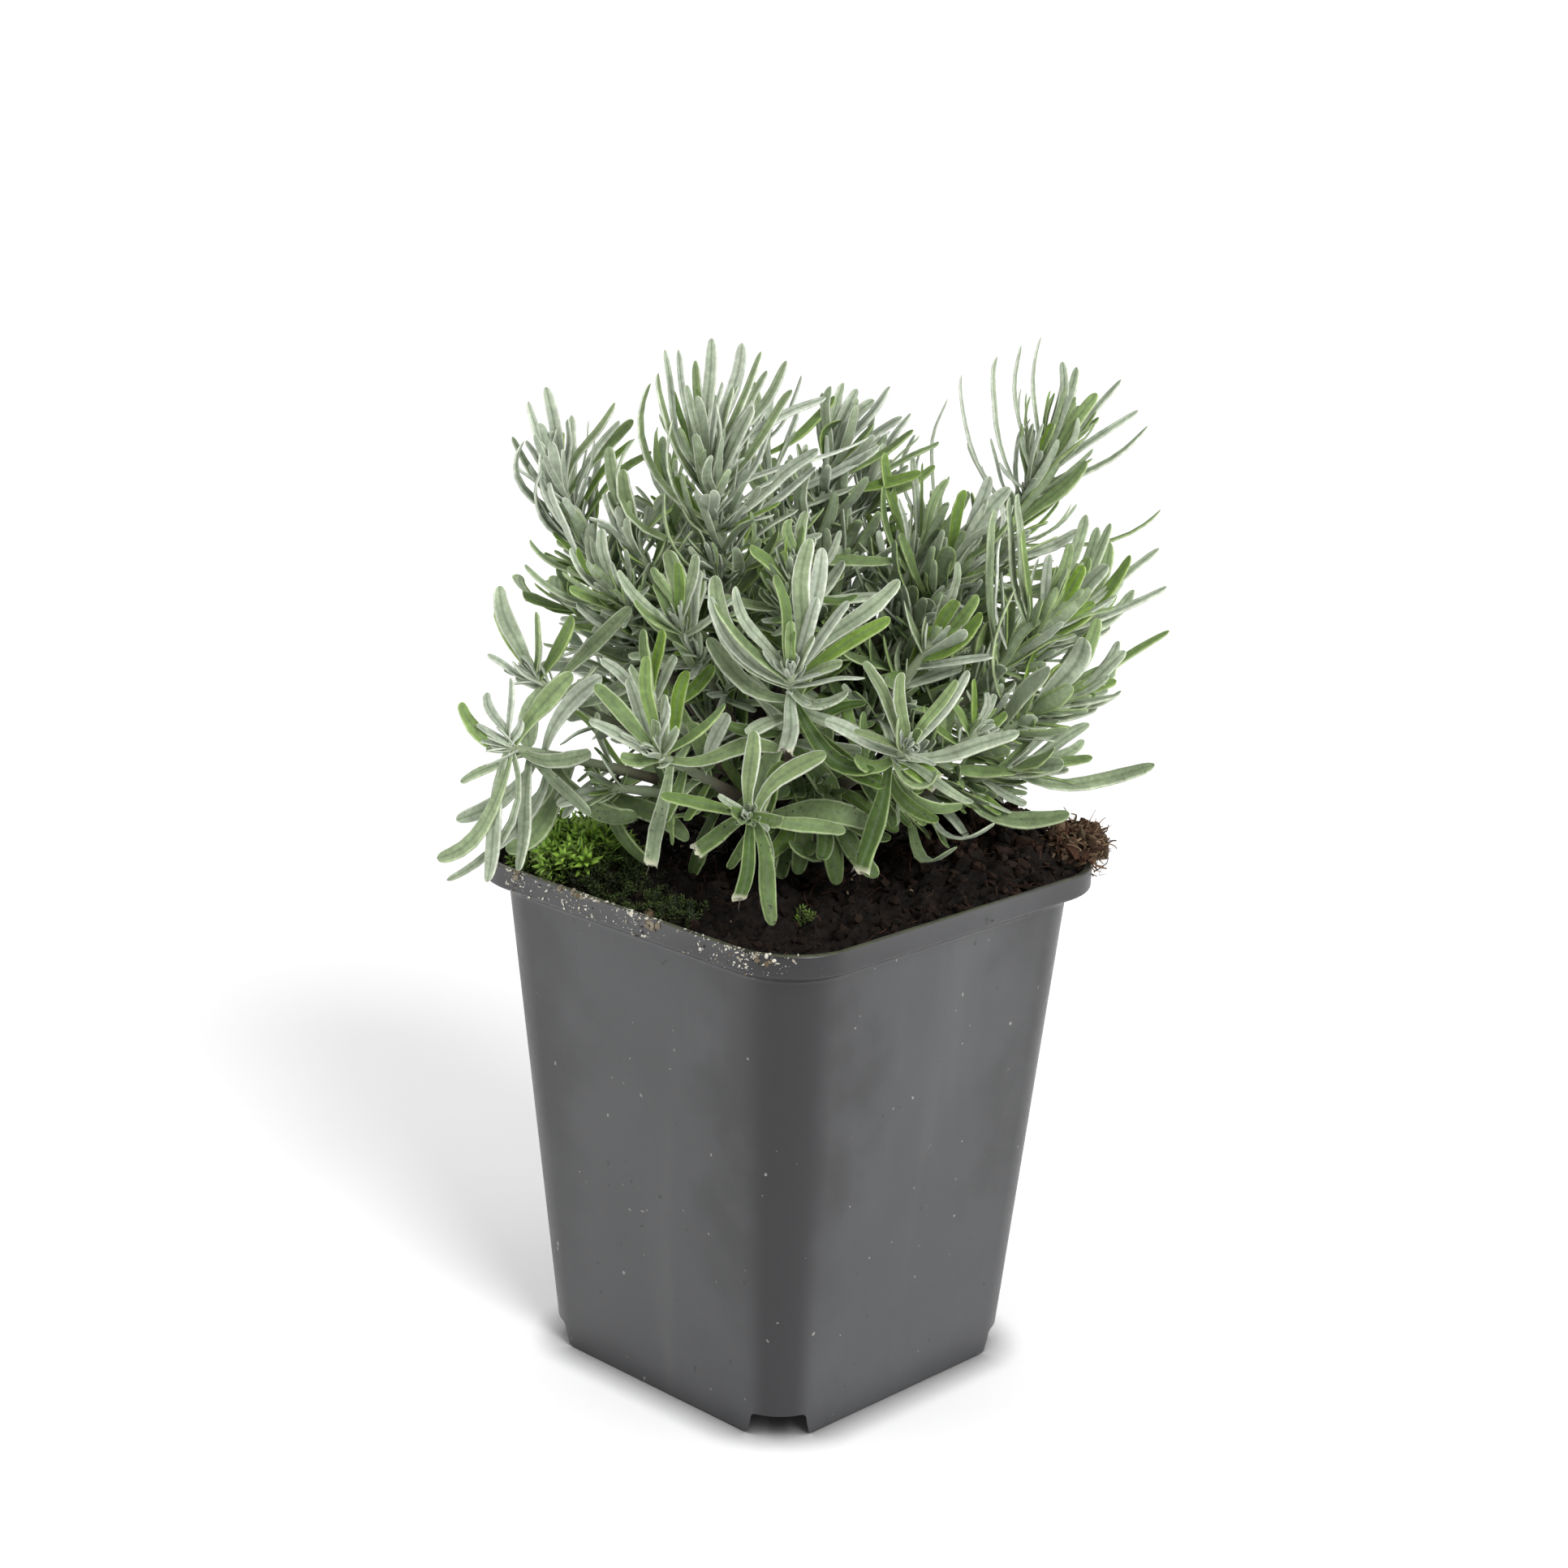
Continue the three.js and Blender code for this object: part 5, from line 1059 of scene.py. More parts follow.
def eased(points, radii, steps=4):
    """The polyline through the points with an arc of the given radius at each inner one."""
    line = [Vector(points[0])]
    for before, corner, after, radius in zip(points, points[1:], points[2:], radii):
        corner = Vector(corner)
        back = (Vector(before) - corner).normalized()
        ahead = (Vector(after) - corner).normalized()
        for step in range(steps + 1):
            t = step / steps
            line.append(corner + back * radius * (1 - t) ** 2 + ahead * radius * t**2)
    line.append(Vector(points[-1]))
    return line


def divided(line, step):
    out = [line[0]]
    for a, b in zip(line, line[1:]):
        parts = max(1, round((b - a).length / step))
        out.extend(a.lerp(b, k / parts) for k in range(1, parts + 1))
    return out


def pot_shell():
    profile = [
        (FOOT_HALF - 3, 0), (FOOT_HALF, 0), (BODY_TOP_HALF, BODY_TOP), (RIM_HALF, SHOULDER),
        (RIM_HALF, POT_HEIGHT), (RIM_HALF - WALL, POT_HEIGHT), (RIM_HALF - WALL, SHOULDER + WALL),
        (BODY_TOP_HALF - WALL, BODY_TOP + WALL), (FOOT_HALF - WALL, WALL), (FOOT_HALF - 4, WALL),
    ]
    line = divided(eased(profile, SHELL_ROUNDINGS), POT_RING_STEP)
    halves = (FOOT_HALF, BODY_TOP_HALF, RIM_HALF)
    rounds = (FOOT_ROUND, BODY_TOP_ROUND, RIM_ROUND)
    points = []
    for half, z in line:
        points += rounded_square(half, float(np.interp(half, halves, rounds)), z)
    shell = Piece()
    shell.add(points, ring_faces(len(line), 4 * (CORNER_STEPS + 1)))
    return shell


def corner_bars(outline, inner, outer):
    """Bars along the diagonals, with the outline's half widths at its heights."""
    section = [(-half, z) for half, z in outline] + [(half, z) for half, z in reversed(outline)]
    bars = Piece()
    for corner in range(4):
        turn = corner_turn(corner)
        points = []
        for reach in (inner, outer):
            points += [turn @ Vector((reach, -side, z)) for side, z in section]
        bars.add(points, ring_faces(2, len(section)))
    return bars


def body_block():
    """The inside of the pot's body, which trims the boxes over the notches."""
    points = []
    for half, round_by, z in ((FOOT_HALF, FOOT_ROUND, 0), (BODY_TOP_HALF, BODY_TOP_ROUND, BODY_TOP)):
        points += rounded_square(half - BOX_INSET, round_by, z)
    block = Piece()
    block.add(points, ring_faces(2, 4 * (CORNER_STEPS + 1)))
    return block


def drain_bars():
    bars = Piece()
    for corner in range(4):
        middle = corner_turn(corner) @ Vector((DRAIN_REACH, 0, 0))
        centres = [middle + UP * (NOTCH_HEIGHT + rise * WALL) for rise in (-1, 3)]
        bars.add_tube(centres, [DRAIN_RADIUS] * 2, DRAIN_SIDES)
    return bars


def joined(target, tool, operation):
    modifier = target.modifiers.new("join", "BOOLEAN")
    modifier.operation = operation
    modifier.solver = "EXACT"
    modifier.object = tool
    bpy.context.view_layer.update()
    result = target.evaluated_get(bpy.context.evaluated_depsgraph_get())
    made = bpy.data.meshes.new_from_object(result)
    target.modifiers.clear()
    target.data = made
    bpy.data.objects.remove(tool)


def add_pot(material):
    pot = pot_shell().finish("moulded_pot", [material])
    lining = [(half + WALL, max(WALL / 2, z + WALL)) for half, z in NOTCH_OUTLINE[1:]]
    boxes = corner_bars(lining, NOTCH_INNER - WALL, NOTCH_OUTER).finish("boxes", [material])
    joined(boxes, body_block().finish("block", [material]), "INTERSECT")
    joined(pot, boxes, "UNION")
    for tool in (corner_bars(NOTCH_OUTLINE, NOTCH_INNER, NOTCH_OUTER), drain_bars()):
        joined(pot, tool.finish("tool", [material]), "DIFFERENCE")
    pot.data.shade_smooth()
    pot.data.set_sharp_from_angle(angle=math.radians(POT_SHARP))
    dress(pot, "pot")


# Soil
def soil_top(x, y):
    heap = place(*HEAP_PLACE, 0)
    wave = math.sin(x * SOIL_WAVE[0] + SOIL_RIPPLE[1]) * math.cos(y * SOIL_WAVE[1])
    rough = wave + SOIL_RIPPLE_SHARE * math.sin(x * SOIL_RIPPLE[0] - y * SOIL_RIPPLE[1])
    middle = 1 - max(abs(x), abs(y)) / RIM_HALF
    slope = min(1, HEAP_AT_WALL + middle * HEAP_FADE)
    near = ((x - heap.x) ** 2 + (y - heap.y) ** 2) / (2 * HEAP_SPREAD**2)
    raised = HEAP_HEIGHT * math.exp(-near) * slope
    return SOIL_LEVEL + raised + SOIL_RELIEF * rough * min(1, middle * RELIEF_FADE)


def crumbled_top(x, y):
    spot = Vector((x, y, 0)) * SOIL_CRUMB_SCALE
    crumbs = noise.fractal(spot, 0.7, 2.2, 5) + 0.35 * noise.noise(spot * 6)
    return soil_top(x, y) + SOIL_CRUMB * crumbs


def in_square(a, b):
    """A point of the square from -1 to 1, moved into the soil's rounded square."""
    half = RIM_HALF - SOIL_INSET
    round_by = RIM_ROUND - SOIL_INSET
    flat = half - round_by
    x, y = a * half, b * half
    if abs(x) > flat and abs(y) > flat:
        u = (abs(x) - flat) / round_by
        v = (abs(y) - flat) / round_by
        x = math.copysign(flat + round_by * u * math.sqrt(1 - v * v / 2), x)
        y = math.copysign(flat + round_by * v * math.sqrt(1 - u * u / 2), y)
    return x, y


def soil_bed(bed):
    side = SOIL_GRID + 1
    top = []
    for j in range(side):
        for i in range(side):
            x, y = in_square(2 * i / SOIL_GRID - 1, 2 * j / SOIL_GRID - 1)
            top.append((x, y, crumbled_top(x, y)))
    faces = []
    for j in range(SOIL_GRID):
        for i in range(SOIL_GRID):
            a = j * side + i
            faces.append((a, a + 1, a + 1 + side, a + side))
    edge = list(range(side)) + [j * side + SOIL_GRID for j in range(1, side)]
    edge += [SOIL_GRID * side + i for i in range(SOIL_GRID - 1, -1, -1)]
    edge += [j * side for j in range(SOIL_GRID - 1, 0, -1)]
    size, count = len(top), len(edge)
    skirt = []
    for half, z in ((BODY_TOP_HALF, BODY_TOP), (FOOT_HALF, SOIL_FLOOR)):
        reach = half / RIM_HALF
        skirt += [(top[k][0] * reach, top[k][1] * reach, z) for k in edge]
    for i in range(count):
        j = (i + 1) % count
        faces.append((edge[j], edge[i], size + i, size + j))
        faces.append((size + j, size + i, size + count + i, size + count + j))
    faces.append(tuple(size + count + i for i in range(count)))
    bed.add(top + skirt, faces)


def grain_shape():
    golden = (1 + math.sqrt(5)) / 2
    points = []
    for a in (-1, 1):
        for b in (-golden, golden):
            points += [(0, a, b), (a, b, 0), (b, 0, a)]
    points = [Vector(p).normalized() for p in points]
    faces = []
    for i in range(12):
        for j in range(i + 1, 12):
            for k in range(j + 1, 12):
                a, b, c = points[i], points[j], points[k]
                if max((a - b).length, (b - c).length, (a - c).length) < 1.1:
                    outward = (b - a).cross(c - a).dot(a) > 0
                    faces.append((i, j, k) if outward else (i, k, j))
    return np.array(points), faces


GRAIN_POINTS, GRAIN_FACES = grain_shape()


def add_grain(piece, at, size, rng, tone, stretch=1):
    scale = np.array([rng.uniform(0.6, 1.3) * stretch, rng.uniform(0.6, 1.3), rng.uniform(0.5, 1.0)])
    rough = np.array([rng.uniform(0.75, 1.2) for _ in GRAIN_POINTS])[:, None]
    turn = Quaternion(scatter(rng), rng.uniform(0, 3))
    points = (GRAIN_POINTS * rough * scale * size) @ np.array(turn.to_matrix()).T
    piece.add(points + np.array(at), GRAIN_FACES, tone=tone)


def add_fibre(piece, at, way, length, radius, curl, rng, tone, keep_above=None, steps=9, slot=0):
    spot = Vector(at)
    way = Vector(way).normalized()
    bend = scatter(rng, 1, 1, 0.6)
    centres = [spot.copy()]
    for _ in range(steps):
        bend = bend * 0.75 + scatter(rng, 1, 1, 0.6) * 0.5
        way = (way + bend * curl).normalized()
        spot = spot + way * (length / steps)
        if keep_above:
            spot.z = max(spot.z, keep_above(spot.x, spot.y) + radius)
        centres.append(spot.copy())
    radii = [radius * (1 - 0.6 * i / steps) for i in range(steps + 1)]
    piece.add_tube(centres, radii, 3, slot, tone)


def add_soil(material):
    rng = random.Random(11)
    soil = Piece()
    soil_bed(soil)
    heap = place(*HEAP_PLACE, 0)

    def anywhere(reach):
        return in_square(rng.uniform(-reach, reach), rng.uniform(-reach, reach))

    def on_heap(spread, limit):
        return min(limit, heap.x + rng.gauss(0, spread)), min(limit, heap.y + rng.gauss(0, spread))

    for _ in range(GRAINS):
        x, y = anywhere(GRAIN_REACH)
        size = between(GRAIN_SIZES, rng.random() ** 2.5)
        brown = 0.15 + 0.3 * smooth(26, 50, place_back(Vector((x, y, 0))).x)
        tone = (brown * rng.random(), rng.random(), 0.7 if rng.random() < 0.012 else 0, 0)
        add_grain(soil, (x, y, crumbled_top(x, y) + size * 0.3), size, rng, tone)
    for _ in range(HEAP_CRUMBS):
        x, y = on_heap(HEAP_SPREAD * 0.75, HEAP_CRUMB_LIMIT)
        size = between(CRUMB_SIZES, rng.random() ** 2)
        peak = smooth(18, 4, math.hypot(x - heap.x, y - heap.y))
        lift = size * 0.4 + HEAP_CRUMB_RISE * rng.random() ** 2 * peak
        tone = (0.3 * rng.random() ** 2, rng.random(), 0, 0)
        add_grain(soil, (x, y, crumbled_top(x, y) + lift), size, rng, tone, 1.5)
    for i in range(FIBRES):
        x, y = anywhere(FIBRE_REACH)
        if i % 2:
            x, y = on_heap(HEAP_SPREAD, HEAP_FIBRE_LIMIT)
        way = scatter(rng, 1, 1, 0.25)
        length = between(FIBRE_LENGTHS, rng.random() ** 1.5)
        at = (x, y, crumbled_top(x, y) + 0.2)
        tone = (rng.uniform(0.3, 1), rng.random(), 0, 0)
        add_fibre(soil, at, way, length, rng.uniform(*FIBRE_RADII), 0.35, rng, tone, crumbled_top, 7)
    dress(soil.finish("soil_bed", [material], CRUMB_SHARP), "soil")
    add_clump(material, rng)


def add_clump(material, rng):
    clump = Piece()
    centre = place(*CLUMP_PLACE)

    def inside(share):
        way = scatter(rng).normalized()
        spot = centre + place(*(way * Vector(CLUMP_SIZE) * share))
        spot.z = max(spot.z, CLUMP_LOWEST)
        return spot, place(*way)

    for _ in range(CLUMP_GRAINS):
        spot, _ = inside(rng.random() ** 0.4)
        tone = (rng.uniform(0, 0.9), rng.random(), 0.4 * rng.random() ** 2, 0)
        add_grain(clump, spot, between(CLUMP_GRAIN_SIZES, rng.random() ** 1.8), rng, tone, 1.7)
    for _ in range(CLUMP_FIBRES):
        spot, way = inside(rng.uniform(0.7, 0.98))
        aim = way.cross(scatter(rng)) + way * 0.25
        thick = between(CLUMP_FIBRE_RADII, rng.random() ** 1.5)
        tone = (rng.uniform(0.6, 1), rng.random(), 0.8 * rng.random() ** 1.5, 0)
        length = rng.uniform(*CLUMP_FIBRE_LENGTHS)
        add_fibre(clump, spot, aim, length, thick, 0.75, rng, tone, steps=6)
    dress(clump.finish("coir_clump", [material], CRUMB_SHARP), None)


# Moss: a low cushion under feathery fronds
BRANCHLET_FACES = [(0, 2, 1), (0, 3, 2), (1, 2, 4), (2, 3, 4), (0, 1, 3), (1, 4, 3)]


def add_frond(moss, foot, way, length, rng, fresh, broad=0.2):
    side = square_to(scatter(rng), way)
    steps = max(5, round(length / (FROND_SPACING * broad)))
    centres = []
    for i in range(steps + 1):
        t = i / steps
        centres.append(foot + way * length * t + side * length * FROND_CURVE * t * t)
    draw = rng.random()
    moss.add_tube(centres, [FROND_STALK * broad] * (steps + 1), 3, tone=(fresh * 0.35, draw, 0.25, 0))
    angle = rng.uniform(0, math.tau)
    for i in range(1, steps + 1):
        t = i / steps
        root = centres[i]
        along = (root - centres[i - 1]).normalized()
        across = square_to(side, along)
        inner = (fresh * (0.2 + 0.75 * t), draw, 0, 0)
        outer = (min(1, fresh * (0.4 + 0.9 * t)), draw, 0, 0)
        for k in range(FROND_ROWS):
            out = turned(across, along, angle + k * math.tau / FROND_ROWS + rng.gauss(0, 0.2))
            aim = (along * (0.35 + 0.7 * t) + out).normalized()
            swell = math.sin(math.pi * min(1, t * 0.85 + 0.08))
            reach = broad * (3.6 + 4 * swell) * rng.uniform(0.8, 1.2)
            wide = aim.cross(along).normalized() * broad
            belly = root + aim * reach * FROND_BELLY
            lift = aim.cross(wide).normalized() * broad * FROND_BELLY
            points = [root, belly - wide, belly + lift, belly + wide, root + aim * reach]
            moss.add(points, BRANCHLET_FACES, tone=[inner] * 4 + [outer])
        angle += FROND_SPIRAL


def held_in(x, y):
    """The spot, moved inwards where it would reach the pot's wall."""
    flat = RIM_HALF - RIM_ROUND
    past = Vector((max(abs(x) - flat, 0), max(abs(y) - flat, 0)))
    if past.length > MOSS_REACH:
        past *= MOSS_REACH / past.length
    return math.copysign(min(abs(x), flat) + past.x, x), math.copysign(min(abs(y), flat) + past.y, y)


def moss_spot(middle, size, angle, share):
    x = middle[0] + math.cos(angle) * size[0] * share
    y = middle[1] + math.sin(angle) * size[1] * share
    return held_in(x, y)


def moss_crown(share):
    return SOIL_LEVEL - 1 + MOSS_HEIGHT * math.sqrt(max(0, 1 - share * share))


def moss_light(x, y):
    """1 where the cushion is bright green, less towards the plant and along the pot's walls, as painted
    shade there.
    """
    wall_shade = (1 - 0.85 * smooth(*MOSS_LEFT_WALL_SHADE, x)) * (1 - 0.6 * smooth(*MOSS_FRONT_WALL_SHADE, y))
    return smooth(*MOSS_OPEN_SIDE, x) * wall_shade


def moss_foot(x, y, share, depth):
    return Vector((x, y, max(MOSS_DEEPEST, moss_crown(share) - depth)))


def add_cushion(moss):
    points = []
    for r in range(MOSS_RINGS):
        share = 1 - r / MOSS_RINGS
        for s in range(MOSS_SPOKES):
            angle = s / MOSS_SPOKES * math.tau
            x = MOSS_PLACE[0] + math.cos(angle) * MOSS_SIZE[0] * share
            y = MOSS_PLACE[1] + math.sin(angle) * MOSS_SIZE[1] * share
            lump = 0.8 * noise.noise(Vector((x, y, 3)) * 0.5)
            points.append((*held_in(x, y), moss_crown(share) - MOSS_SUNK + lump))
    moss.add(points, ring_faces(MOSS_RINGS, MOSS_SPOKES), tone=(0, 0.2, 0.8, 0))


def add_moss(material):
    rng = random.Random(23)
    moss = Piece()
    add_cushion(moss)
    for _ in range(MOSS_FRONDS):
        angle = rng.uniform(0, math.tau)
        share = math.sqrt(rng.random())
        x, y = moss_spot(MOSS_PLACE, MOSS_SIZE, angle, share * 0.97)
        lean = Vector((math.cos(angle) * share, math.sin(angle) * share, 1.1))
        lean += scatter(rng, 0.35, 0.35, 0)
        lean.y = max(lean.y, -0.3)
        length = rng.uniform(*MOSS_LENGTHS)
        foot = moss_foot(x, y, share, length * 0.66)
        # Greener where moss_light is high; where it is low, the darker green is painted shade
        fresh = 0.08 + 0.7 * moss_light(x, y) * rng.uniform(0.3, 1)
        broad = rng.uniform(*MOSS_BREADTHS)
        add_frond(moss, foot, lean.normalized(), length, rng, fresh, broad)
    for _ in range(MOSS_FERNY_FRONDS):
        angle = rng.uniform(0, math.tau)
        x, y = moss_spot(MOSS_BRIGHT_PLACE, MOSS_BRIGHT_SIZE, angle, math.sqrt(rng.random()))
        lean = Vector((rng.gauss(0.1, 0.6), rng.gauss(0, 0.5), 0.9)).normalized()
        share = math.hypot((x - MOSS_PLACE[0]) / MOSS_SIZE[0], (y - MOSS_PLACE[1]) / MOSS_SIZE[1])
        length = rng.uniform(*MOSS_FERNY_LENGTHS)
        foot = moss_foot(x, y, min(1, share), length * 0.4)
        fresh = rng.uniform(0.6, 1)
        add_frond(moss, foot, lean, length, rng, fresh, rng.uniform(*MOSS_FERNY_BREADTHS))
    for i in range(MOSS_THIN_FRONDS):
        tuft = i % MOSS_TUFT_EVERY == 0
        ends, row = MOSS_THIN_PLACE
        middle = MOSS_TUFT_PLACE if tuft else (between(ends, rng.random()), row)
        x = middle[0] + rng.gauss(0, 0.9 if tuft else 2.6)
        x, y = held_in(x, middle[1] + rng.gauss(0, 0.8 if tuft else 3.2))
        lean = (scatter(rng, 0.5, 0.5, 0) + UP).normalized()
        length = rng.uniform(*(MOSS_TUFT_LENGTHS if tuft else MOSS_THIN_LENGTHS))
        foot = Vector((x, y, crumbled_top(x, y) - 0.3))
        fresh = rng.uniform(0.25, 0.5) if tuft else rng.uniform(0.02, 0.24)
        add_frond(moss, foot, lean, length, rng, fresh)
    dress(moss.finish("moss_fronds", [material]), "moss")


# Stems
class Stem:
    def __init__(self, shoot):
        self.foot = place(*HUB)
        self.tip = place(*shoot.tip)
        self.wood = shoot.wood
        span = self.tip - self.foot
        self.bend = (self.foot + self.tip) / 2
        self.bend.z = self.foot.z + span.z * shoot.lift
        self.bend.x += span.x * (0.5 - shoot.lift)
        self.bend.y += span.y * (0.5 - shoot.lift)
        self.green_length = span.length * (1 - self.wood)

    def at(self, t):
        return self.foot * (1 - t) ** 2 + self.bend * 2 * t * (1 - t) + self.tip * t**2

    def way(self, t):
        return ((self.bend - self.foot) * (1 - t) + (self.tip - self.bend) * t).normalized()

    def green(self, share):
        """How far along the whole stem a share of its green part is."""
        return self.wood + (1 - self.wood) * share

    def seat(self, t):
        """The place on the stem, the way it runs there, and a direction square to that."""
        way = self.way(t)
        return self.at(t), way, square_to(UNDERSIDE_HINT, way)

    def line(self, start, end, steps):
        return [self.at(start + (end - start) * i / steps) for i in range(steps + 1)]


def add_wood(material):
    rng = random.Random(31)
    wood = Piece()
    foot = place(*HUB)
    trunk, trunk_radii = [], []
    for i in range(TRUNK_STEPS + 1):
        t = i / TRUNK_STEPS
        trunk.append(Vector((foot.x, foot.y, TRUNK_FOOT + (foot.z - TRUNK_FOOT + 2) * t)))
        trunk_radii.append(TRUNK_RADIUS * (0.85 + 0.3 * t))
    knot, knot_radii = [], []
    for z in np.linspace(-KNOT_RADIUS, KNOT_RADIUS, KNOT_RINGS):
        knot.append(Vector((foot.x, foot.y, foot.z + z)))
        knot_radii.append(math.sqrt(max(0.05, 1 - (z / KNOT_RADIUS) ** 2)) * KNOT_RADIUS)
    for line, radii in ((trunk, trunk_radii), (knot, knot_radii)):
        points = tube_points(line, radii, TRUNK_SIDES)
        for p in points:
            p += (p - foot).normalized() * TRUNK_LUMPS * noise.fractal(p * 0.35, 0.6, 2.1, 4)
        wood.add(points, ring_faces(len(line), TRUNK_SIDES))
    shares = [i / BOUGH_STEPS for i in range(BOUGH_STEPS + 1)]
    for shoot in SHOOTS + WITHERED:
        line = Stem(shoot).line(0, shoot.wood + 0.02, BOUGH_STEPS)
        radii = [between(BOUGH_RADII, share) * (1 + BOUGH_SWAY * rng.gauss(0, 1)) for share in shares]
        for i in range(1, BOUGH_STEPS):
            line[i] = line[i] + scatter(rng, BOUGH_SWAY, BOUGH_SWAY, 0)
        wood.add_tube(line, radii, BOUGH_SIDES)
    dress(wood.finish("woody_base", [material]), "woody_stem")


def add_stem(piece, shoot, rng):
    line = Stem(shoot).line(shoot.wood - 0.01, 1, STEM_STEPS)
    radii, tones = [], []
    draw = rng.random()
    for i in range(STEM_STEPS + 1):
        share = i / STEM_STEPS
        radii.append(between(STEM_RADII, share) * (STEM_KNOT if i % 4 == 0 else 1))
        tones += [(0, draw, 1 - share, 0)] * STEM_SIDES
    piece.add_tube(line, radii, STEM_SIDES, 1, tones)


# Leaves: each is an arc that starts along `start` and turns by `turn` about `axis`
Leaf = namedtuple("Leaf", "foot way aim length width posed cut bow")


def posed_aim(clock, front, rise):
    c, f = math.radians(clock), math.radians(front)
    chord = place(math.sin(c) * math.cos(f), -math.sin(f), math.cos(c) * math.cos(f))
    axis = chord.cross(UP)
    if axis.length < STEEP:
        axis = place(0, 1, 0)
    axis.normalize()
    turn = math.radians(rise)
    return turned(chord, axis, -turn / 2), axis, turn


def grown_aim(along, across, azimuth, opening, bend):
    out = turned(across, along, math.radians(azimuth))
    axis = along.cross(out).normalized()
    return turned(along, axis, math.radians(opening)), axis, math.radians(bend)


def shoot_leaves(shoot, seed):
    stem = Stem(shoot)
    leaves = []

    def add(share, length, width, aim, posed, look=()):
        t = stem.green(share)
        bow = BOW if "bowed" in look else 0
        leaves.append(Leaf(stem.at(t), stem.way(t), aim, length, width, posed, "cut" in look, bow))

    for share, clock, front, length, rise, width, *look in shoot.posed:
        def aim(swing, tilt, clock=clock, front=front, rise=rise):
            return posed_aim(clock + swing, front + tilt, rise)

        add(share * CROWN_SEAT, length, width, aim, True, look)
    for pair in range(shoot.pairs):
        share = between((FIRST_PAIR, shoot.upto), pair / max(1, shoot.pairs - 1))
        _, along, across = stem.seat(stem.green(share))
        for k in range(2):
            draw = draws(seed * 1000 + pair * 2 + k)
            spin = (draw() - 0.5) * TURN_SPREAD
            azimuth = seed * SHOOT_TURN + pair * PAIR_TURN + k * 180 + spin
            opening = between((OPEN_FOOT, OPEN_TIP), share) + (draw() - 0.5) * OPEN_SPREAD
            bend = shoot.bend * between(BEND_SHARES, draw())
            length = shoot.leaf * between(LENGTH_SHARES, draw()) * (1 - TIP_SHORTER * share * share)
            width = shoot.blade * between(WIDTH_SHARES, draw()) * (1 - TIP_NARROWER * share)

            def aim(swing, tilt, a=azimuth, o=opening, b=bend, way=along, side=across):
                return grown_aim(way, side, a + swing, o + tilt, b)

            add(share, length, width, aim, False)
    return leaves


def leaf_face(leaf):
    return place(*FACING) + leaf.way if leaf.posed else leaf.way.copy()


def leaf_mark(leaf, aim, length):
    """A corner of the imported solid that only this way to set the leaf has."""
    start, axis, turn = aim
    side = axis.cross(start)
    run = 1 if turn == 0 else math.sin(turn) / turn
    rise = 0 if turn == 0 else (1 - math.cos(turn)) / turn
    point = leaf.foot + start * (run * length) + side * (rise * length)
    along = turned(start, axis, turn)
    upper = square_to(turned(square_to(leaf_face(leaf), start), axis, turn), along)
    if leaf.cut:
        return point + along.cross(upper) * (leaf.width / 2 * CUT_WIDTH)
    return point - upper * TIP_DROP


def settled(leaf, corners):
    """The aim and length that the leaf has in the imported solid, or None if it isn't there."""
    for shorter in LENGTH_TRIES:
        for tilt in TILT_TRIES:
            for swing in SWING_TRIES:
                aim = leaf.aim(swing, tilt)
                length = leaf.length * shorter
                if corners.find(leaf_mark(leaf, aim, length))[2] < TIP_TOLERANCE:
                    return aim, length
    return None


# Cross-section of a blade, from one margin over the upper face and back below: across, height
# when flat, height when rolled, and 1 where it belongs to the underside
FULL_SECTION = np.array([
    (-1, -0.12, -0.45, 0), (-0.88, 0.02, -0.06, 0), (-0.5, 0.06, 0.12, 0), (0, -0.07, -0.2, 0),
    (0.5, 0.06, 0.12, 0), (0.88, 0.02, -0.06, 0), (1, -0.12, -0.45, 0), (0.62, -0.14, -0.62, 1),
    (0.15, -0.12, -0.45, 1), (0, -0.25, -0.62, 1), (-0.15, -0.12, -0.45, 1), (-0.62, -0.14, -0.62, 1),
])
SMALL_SECTION = np.array([
    (-1, -0.2, -0.4, 0), (-0.55, 0.08, 0.1, 0), (0, -0.08, -0.16, 0), (0.55, 0.08, 0.1, 0),
    (1, -0.2, -0.4, 0), (0.5, -0.25, -0.6, 1), (0, -0.3, -0.6, 1), (-0.5, -0.25, -0.6, 1),
])
FULL_STATIONS = np.array([0, 0.07, 0.17, 0.29, 0.42, 0.55, 0.67, 0.78, 0.87, 0.93, 0.97, 0.99, 1])
SMALL_STATIONS = np.array([0, 0.15, 0.35, 0.55, 0.75, 0.89, 0.97, 1])

# How finely a leaf is made: its section, its stations and how much it sways
FULL = (FULL_SECTION, FULL_STATIONS, 1)
PLAIN = (SMALL_SECTION, FULL_STATIONS, 1)
SMALL = (SMALL_SECTION, SMALL_STATIONS, 0.6)


def turned_all(vector, axis, angles):
    v, a = np.array(vector), np.array(axis)
    c, s = np.cos(angles)[:, None], np.sin(angles)[:, None]
    return v * c + np.cross(a, v) * s + a * np.dot(a, v) * (1 - c)


